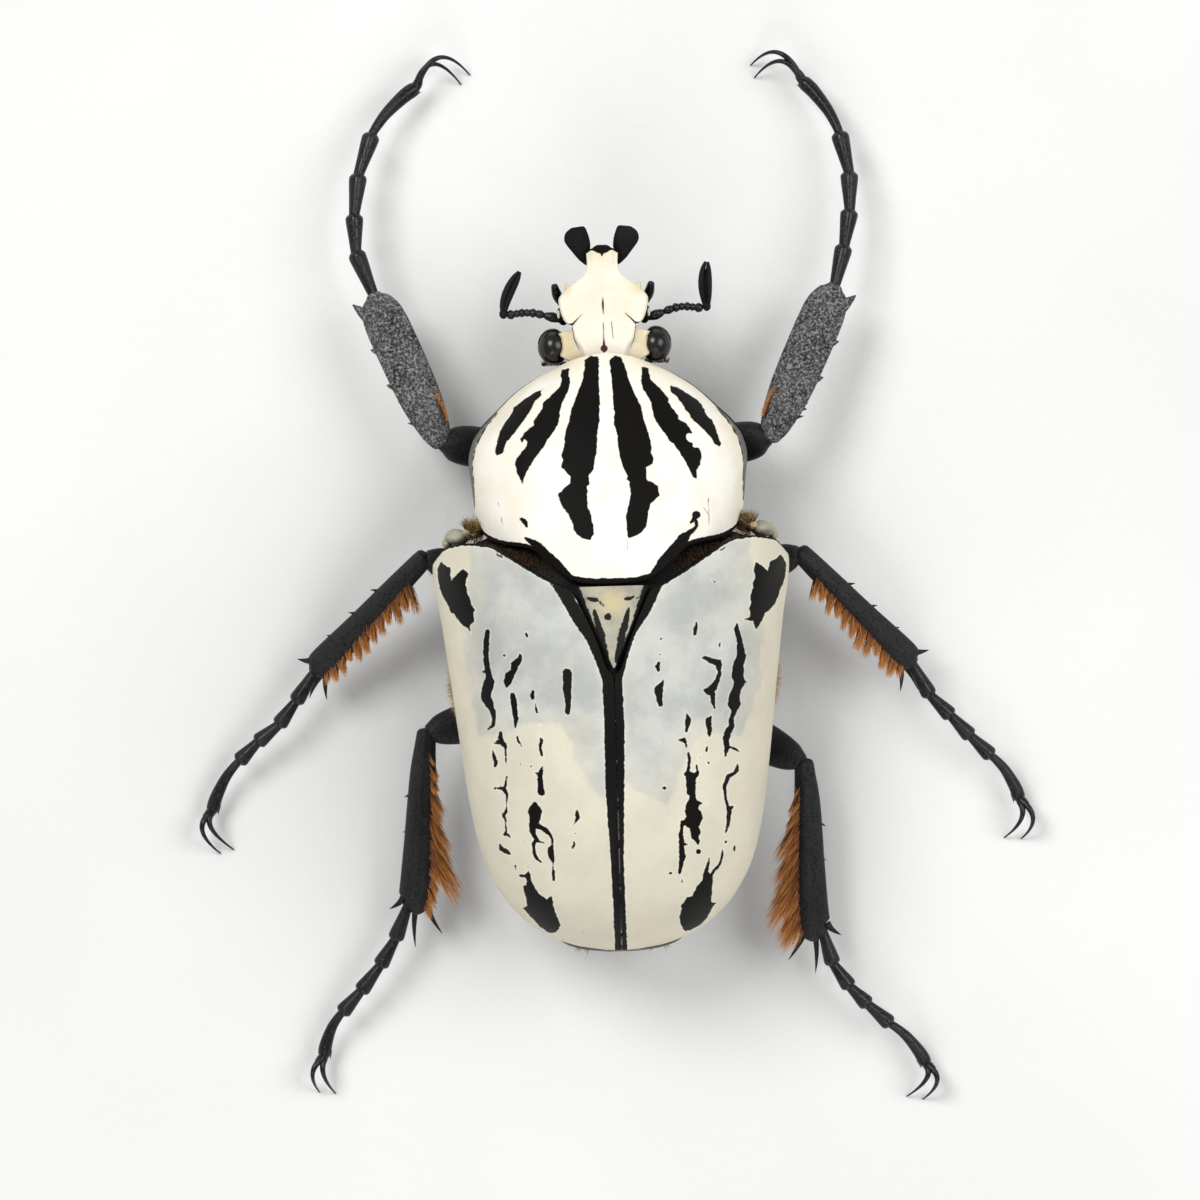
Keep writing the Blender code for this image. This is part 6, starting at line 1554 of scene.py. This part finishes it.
class BeetleColours(bpy.types.PropertyGroup):
    """Colours of plates, horn, hair and studio."""

    ivory: tone("Ivory", "Lightest ivory of back and head", 0.96, 0.935, 0.855)
    ivory_shade: tone("Ivory shade", "Warmer ivory in its cloudy parts", 0.91, 0.86, 0.73)
    cream: tone("Cream", "Wing cases behind and at the sides", 0.71, 0.675, 0.54)
    cream_shade: tone("Cream shade", "Darker cream of the wing cases", 0.655, 0.625, 0.50)
    bloom: tone("Bloom", "Grey bloom in the middle of the wing cases", 0.56, 0.57, 0.535)
    bloom_shade: tone("Bloom shade", "Darker places of the bloom", 0.43, 0.44, 0.425)
    dash: tone("Dash", "Faint grey specks of the wing cases", 0.34, 0.345, 0.33)
    # Tan-pink tint of the wing case edges, partly painted shade of the sides that turn down.
    edge_tint_and_shade: tone("Blush", "Faint tan pink near the edges of the wing cases", 0.70, 0.55, 0.42)
    chalk: tone("Chalk", "Small pale plates", 0.46, 0.44, 0.35)
    chalk_shade: tone("Chalk shade", "Darker places of the small plates", 0.31, 0.30, 0.25)
    stain: tone("Stain", "Tan along edges and scuffs", 0.64, 0.52, 0.29)
    seam: tone("Seam", "Brown seams of the head", 0.075, 0.03, 0.026)
    black: tone("Mark", "Black marks", 0.004, 0.0035, 0.003)
    black_wear: tone("Worn mark", "Black marks where they are rubbed", 0.018, 0.016, 0.013)
    horn: tone("Horn", "Black horn of the legs", 0.005, 0.005, 0.005)
    horn_shade: tone("Horn shade", "Browner horn", 0.012, 0.011, 0.011)
    horn_wear: tone("Worn horn", "Grey wear of the horn", 0.06, 0.057, 0.055)
    # Pale grains of the fore shins, partly painted glints of their small highlights.
    horn_dust_and_glint: tone("Dusty horn", "Pale grains of the fore shins", 0.36, 0.355, 0.35)
    edge: tone("Edge", "Grey side rim of the back plate", 0.16, 0.155, 0.145)
    edge_shade: tone("Edge shade", "Darker places of the side rim", 0.07, 0.067, 0.06)
    rim: tone("Rim", "Ridge round the front of the eyes", 0.02, 0.016, 0.012)
    rim_shade: tone("Rim shade", "Paler places of the ridge", 0.10, 0.085, 0.065)
    belly: tone("Belly", "Polished underside", 0.014, 0.017, 0.012)
    belly_shade: tone("Belly shade", "Browner underside", 0.04, 0.03, 0.014)
    eye: tone("Eye", "Eyes", 0.003, 0.003, 0.003)
    eye_shade: tone("Eye shade", "Brown depth of the eyes", 0.012, 0.009, 0.007)
    comb_root: tone("Comb root", "Shin hair at its root", 0.12, 0.025, 0.007)
    comb_tip: tone("Comb tip", "Shin hair at its tip", 0.82, 0.35, 0.085)
    gold_root: tone("Gold root", "Flank hair at its root", 0.20, 0.11, 0.035)
    gold_tip: tone("Gold tip", "Flank hair at its tip", 0.58, 0.40, 0.17)
    # Dark brown of the pile round the back plate: partly its own brown, partly painted shade of the recesses.
    brown_root: tone("Brown root", "Joint hair at its root", 0.06, 0.03, 0.012)
    brown_tip: tone("Brown tip", "Joint hair at its tip", 0.13, 0.07, 0.03)
    floor: tone("Floor", "Studio floor", 0.80, 0.80, 0.79)
    wander: FloatProperty(name="Wander", description="How far the edge of a black mark wanders",
                          default=0.00035, min=0.0, max=0.002, unit="LENGTH", precision=5)


class BeetleHair(bpy.types.PropertyGroup):
    """Sizes and numbers of the hair."""

    comb_hairs: IntProperty(name="Comb hairs", description="Hairs in the comb of one shin",
                            default=1500, min=100, max=5000)
    comb_locks: IntProperty(name="Comb locks", description="Pointed locks that a full shin would carry",
                            default=14, min=4, max=60)
    thickness: FloatProperty(name="Thickness", description="Share of the usual thickness of a comb hair",
                             default=1.0, min=0.3, max=3.0, subtype="FACTOR")


class BeetleStudio(bpy.types.PropertyGroup):
    """Camera, lamps and floor."""

    height: FloatProperty(name="Camera height", description="Camera above the floor",
                          default=0.914, min=0.3, max=3.0, unit="LENGTH")
    field: FloatProperty(name="Field", description="Width of the view at the height of the legs",
                         default=0.1409, min=0.05, max=0.5, unit="LENGTH")
    roll: FloatProperty(name="Roll", description="Turn of the camera about the straight view down",
                        default=math.radians(1.644), min=-0.5, max=0.5, subtype="ANGLE", unit="ROTATION")
    key: FloatProperty(name="Key lamp", description="Power of the large soft lamp",
                       default=9.0, min=0.0, max=100.0, unit="POWER")
    fill: FloatProperty(name="Fill lamp", description="Power of the soft lamp at the other side",
                        default=6.5, min=0.0, max=100.0, unit="POWER")
    room: FloatProperty(name="Room light", description="Strength of the even light from all round",
                        default=0.3, min=0.0, max=2.0, subtype="FACTOR")


class BeetleSettings(bpy.types.PropertyGroup):
    """All settings of the model."""

    colours: PointerProperty(type=BeetleColours, name="Colours", description="Colours of the finishes")
    hair: PointerProperty(type=BeetleHair, name="Hair", description="Hair of the legs and body")
    studio: PointerProperty(type=BeetleStudio, name="Studio", description="Camera, lamps and floor")


class BEETLE_OT_wing_cases(bpy.types.Operator):
    """Build the two streaked wing cases"""

    bl_idname = "beetle.wing_cases"
    bl_label = "Wing Cases"

    def execute(self, context):
        for word in SIDES:
            build_wing_case(word)
        return {"FINISHED"}


class BEETLE_OT_back_plate(bpy.types.Operator):
    """Build the striped back plate"""

    bl_idname = "beetle.back_plate"
    bl_label = "Back Plate"

    def execute(self, context):
        build_back_plate()
        return {"FINISHED"}


class BEETLE_OT_head(bpy.types.Operator):
    """Build the head with its horns and eyes"""

    bl_idname = "beetle.head"
    bl_label = "Head, Horns and Eyes"

    def execute(self, context):
        build_head()
        for word in SIDES:
            build_horn(word)
            build_eye(word)
        return {"FINISHED"}


class BEETLE_OT_feelers(bpy.types.Operator):
    """Build the clubbed feelers, the palps and the chin plate"""

    bl_idname = "beetle.feelers"
    bl_label = "Feelers and Mouth"

    def execute(self, context):
        for word in SIDES:
            build_feeler(word)
        build_mouth()
        return {"FINISHED"}


class BEETLE_OT_trunk(bpy.types.Operator):
    """Build thorax, belly and tail plate"""

    bl_idname = "beetle.trunk"
    bl_label = "Trunk"

    def execute(self, context):
        build_trunk()
        return {"FINISHED"}


class BEETLE_OT_small_plates(bpy.types.Operator):
    """Build the three-cornered plate and the pale shoulder plates"""

    bl_idname = "beetle.small_plates"
    bl_label = "Small Plates"

    def execute(self, context):
        build_small_plates()
        return {"FINISHED"}


class BEETLE_OT_legs(bpy.types.Operator):
    """Build hips, thighs, shins, feet and claws"""

    bl_idname = "beetle.legs"
    bl_label = "Legs"

    def execute(self, context):
        for leg in LEGS:
            build_leg(leg)
            build_foot(leg)
        return {"FINISHED"}


class BEETLE_OT_hair(bpy.types.Operator):
    """Build the combs of the shins and the pile of the body"""

    bl_idname = "beetle.hair"
    bl_label = "Hair"

    def execute(self, context):
        settings = context.scene.beetle.hair
        for leg in FRINGES:
            build_comb(leg, settings)
        build_body_hair()
        build_leg_hair()
        return {"FINISHED"}


class BEETLE_OT_stage(bpy.types.Operator):
    """Build the pale floor, the soft lamps and the camera"""

    bl_idname = "beetle.stage"
    bl_label = "Studio"

    def execute(self, context):
        build_stage(context.scene.beetle.studio)
        return {"FINISHED"}


class VIEW3D_PT_beetle(bpy.types.Panel):
    """Lists the settings and the steps of the model"""

    bl_label = "Goliath Beetle"
    bl_space_type = "VIEW_3D"
    bl_region_type = "UI"
    bl_category = "Beetle"

    def draw(self, context):
        settings = context.scene.beetle
        for group in (settings.colours, settings.hair, settings.studio):
            box = self.layout.box()
            for name in type(group).__annotations__:
                box.prop(group, name)
        for step in STEPS:
            self.layout.operator(step.bl_idname)


STEPS = [BEETLE_OT_wing_cases, BEETLE_OT_back_plate, BEETLE_OT_head, BEETLE_OT_feelers, BEETLE_OT_trunk,
         BEETLE_OT_small_plates, BEETLE_OT_legs, BEETLE_OT_hair, BEETLE_OT_stage]
CLASSES = [BeetleColours, BeetleHair, BeetleStudio, BeetleSettings, *STEPS, VIEW3D_PT_beetle]


def build_stage(settings):
    """Floor, three large soft lamps and the camera straight above."""
    scene = bpy.context.scene
    scene.view_settings.view_transform = "Standard"
    mesh = bpy.data.meshes.new("studio_floor")
    corners = [(x * FLOOR_REACH, y * FLOOR_REACH, 0) for x, y in ((-1, -1), (1, -1), (1, 1), (-1, 1))]
    mesh.from_pydata(corners, [], [(0, 1, 2, 3)])
    mesh.materials.append(finish("studio floor"))
    floor = bpy.data.objects.new("studio_floor", mesh)
    scene.collection.objects.link(floor)
    for name, place, size, power, share in LAMPS:
        lamp = bpy.data.lights.new(name, "AREA")
        lamp.shape, lamp.size, lamp.energy = "DISK", size, getattr(settings, power) * share
        made = bpy.data.objects.new(name, lamp)
        made.location = place
        made.rotation_euler = (Vector(LAMP_TARGET) - made.location).to_track_quat("-Z", "Y").to_euler()
        scene.collection.objects.link(made)
    world = bpy.data.worlds.new("studio_room")
    world.use_nodes = True
    world.node_tree.nodes["Background"].inputs["Color"].default_value = (1.0, 1.0, 1.0, 1.0)
    world.node_tree.nodes["Background"].inputs["Strength"].default_value = settings.room
    scene.world = world
    lens = bpy.data.cameras.new("plan_camera")
    lens.sensor_width = SENSOR
    lens.lens = SENSOR * (settings.height - LEG_LEVEL) / settings.field
    camera = bpy.data.objects.new("plan_camera", lens)
    camera.location = (*CAMERA_SPOT, settings.height)
    camera.rotation_euler = (0.0, 0.0, math.pi - settings.roll)
    scene.collection.objects.link(camera)
    scene.camera = camera


def register():
    for made in CLASSES:
        bpy.utils.register_class(made)
    bpy.types.Scene.beetle = PointerProperty(type=BeetleSettings, name="Beetle",
                                             description="Goliath beetle settings")


def unregister():
    del bpy.types.Scene.beetle
    for made in reversed(CLASSES):
        bpy.utils.unregister_class(made)


def main():
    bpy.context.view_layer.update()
    register()
    for step in STEPS:
        group, name = step.bl_idname.split(".")
        getattr(getattr(bpy.ops, group), name)()


if __name__ == "__main__":
    main()
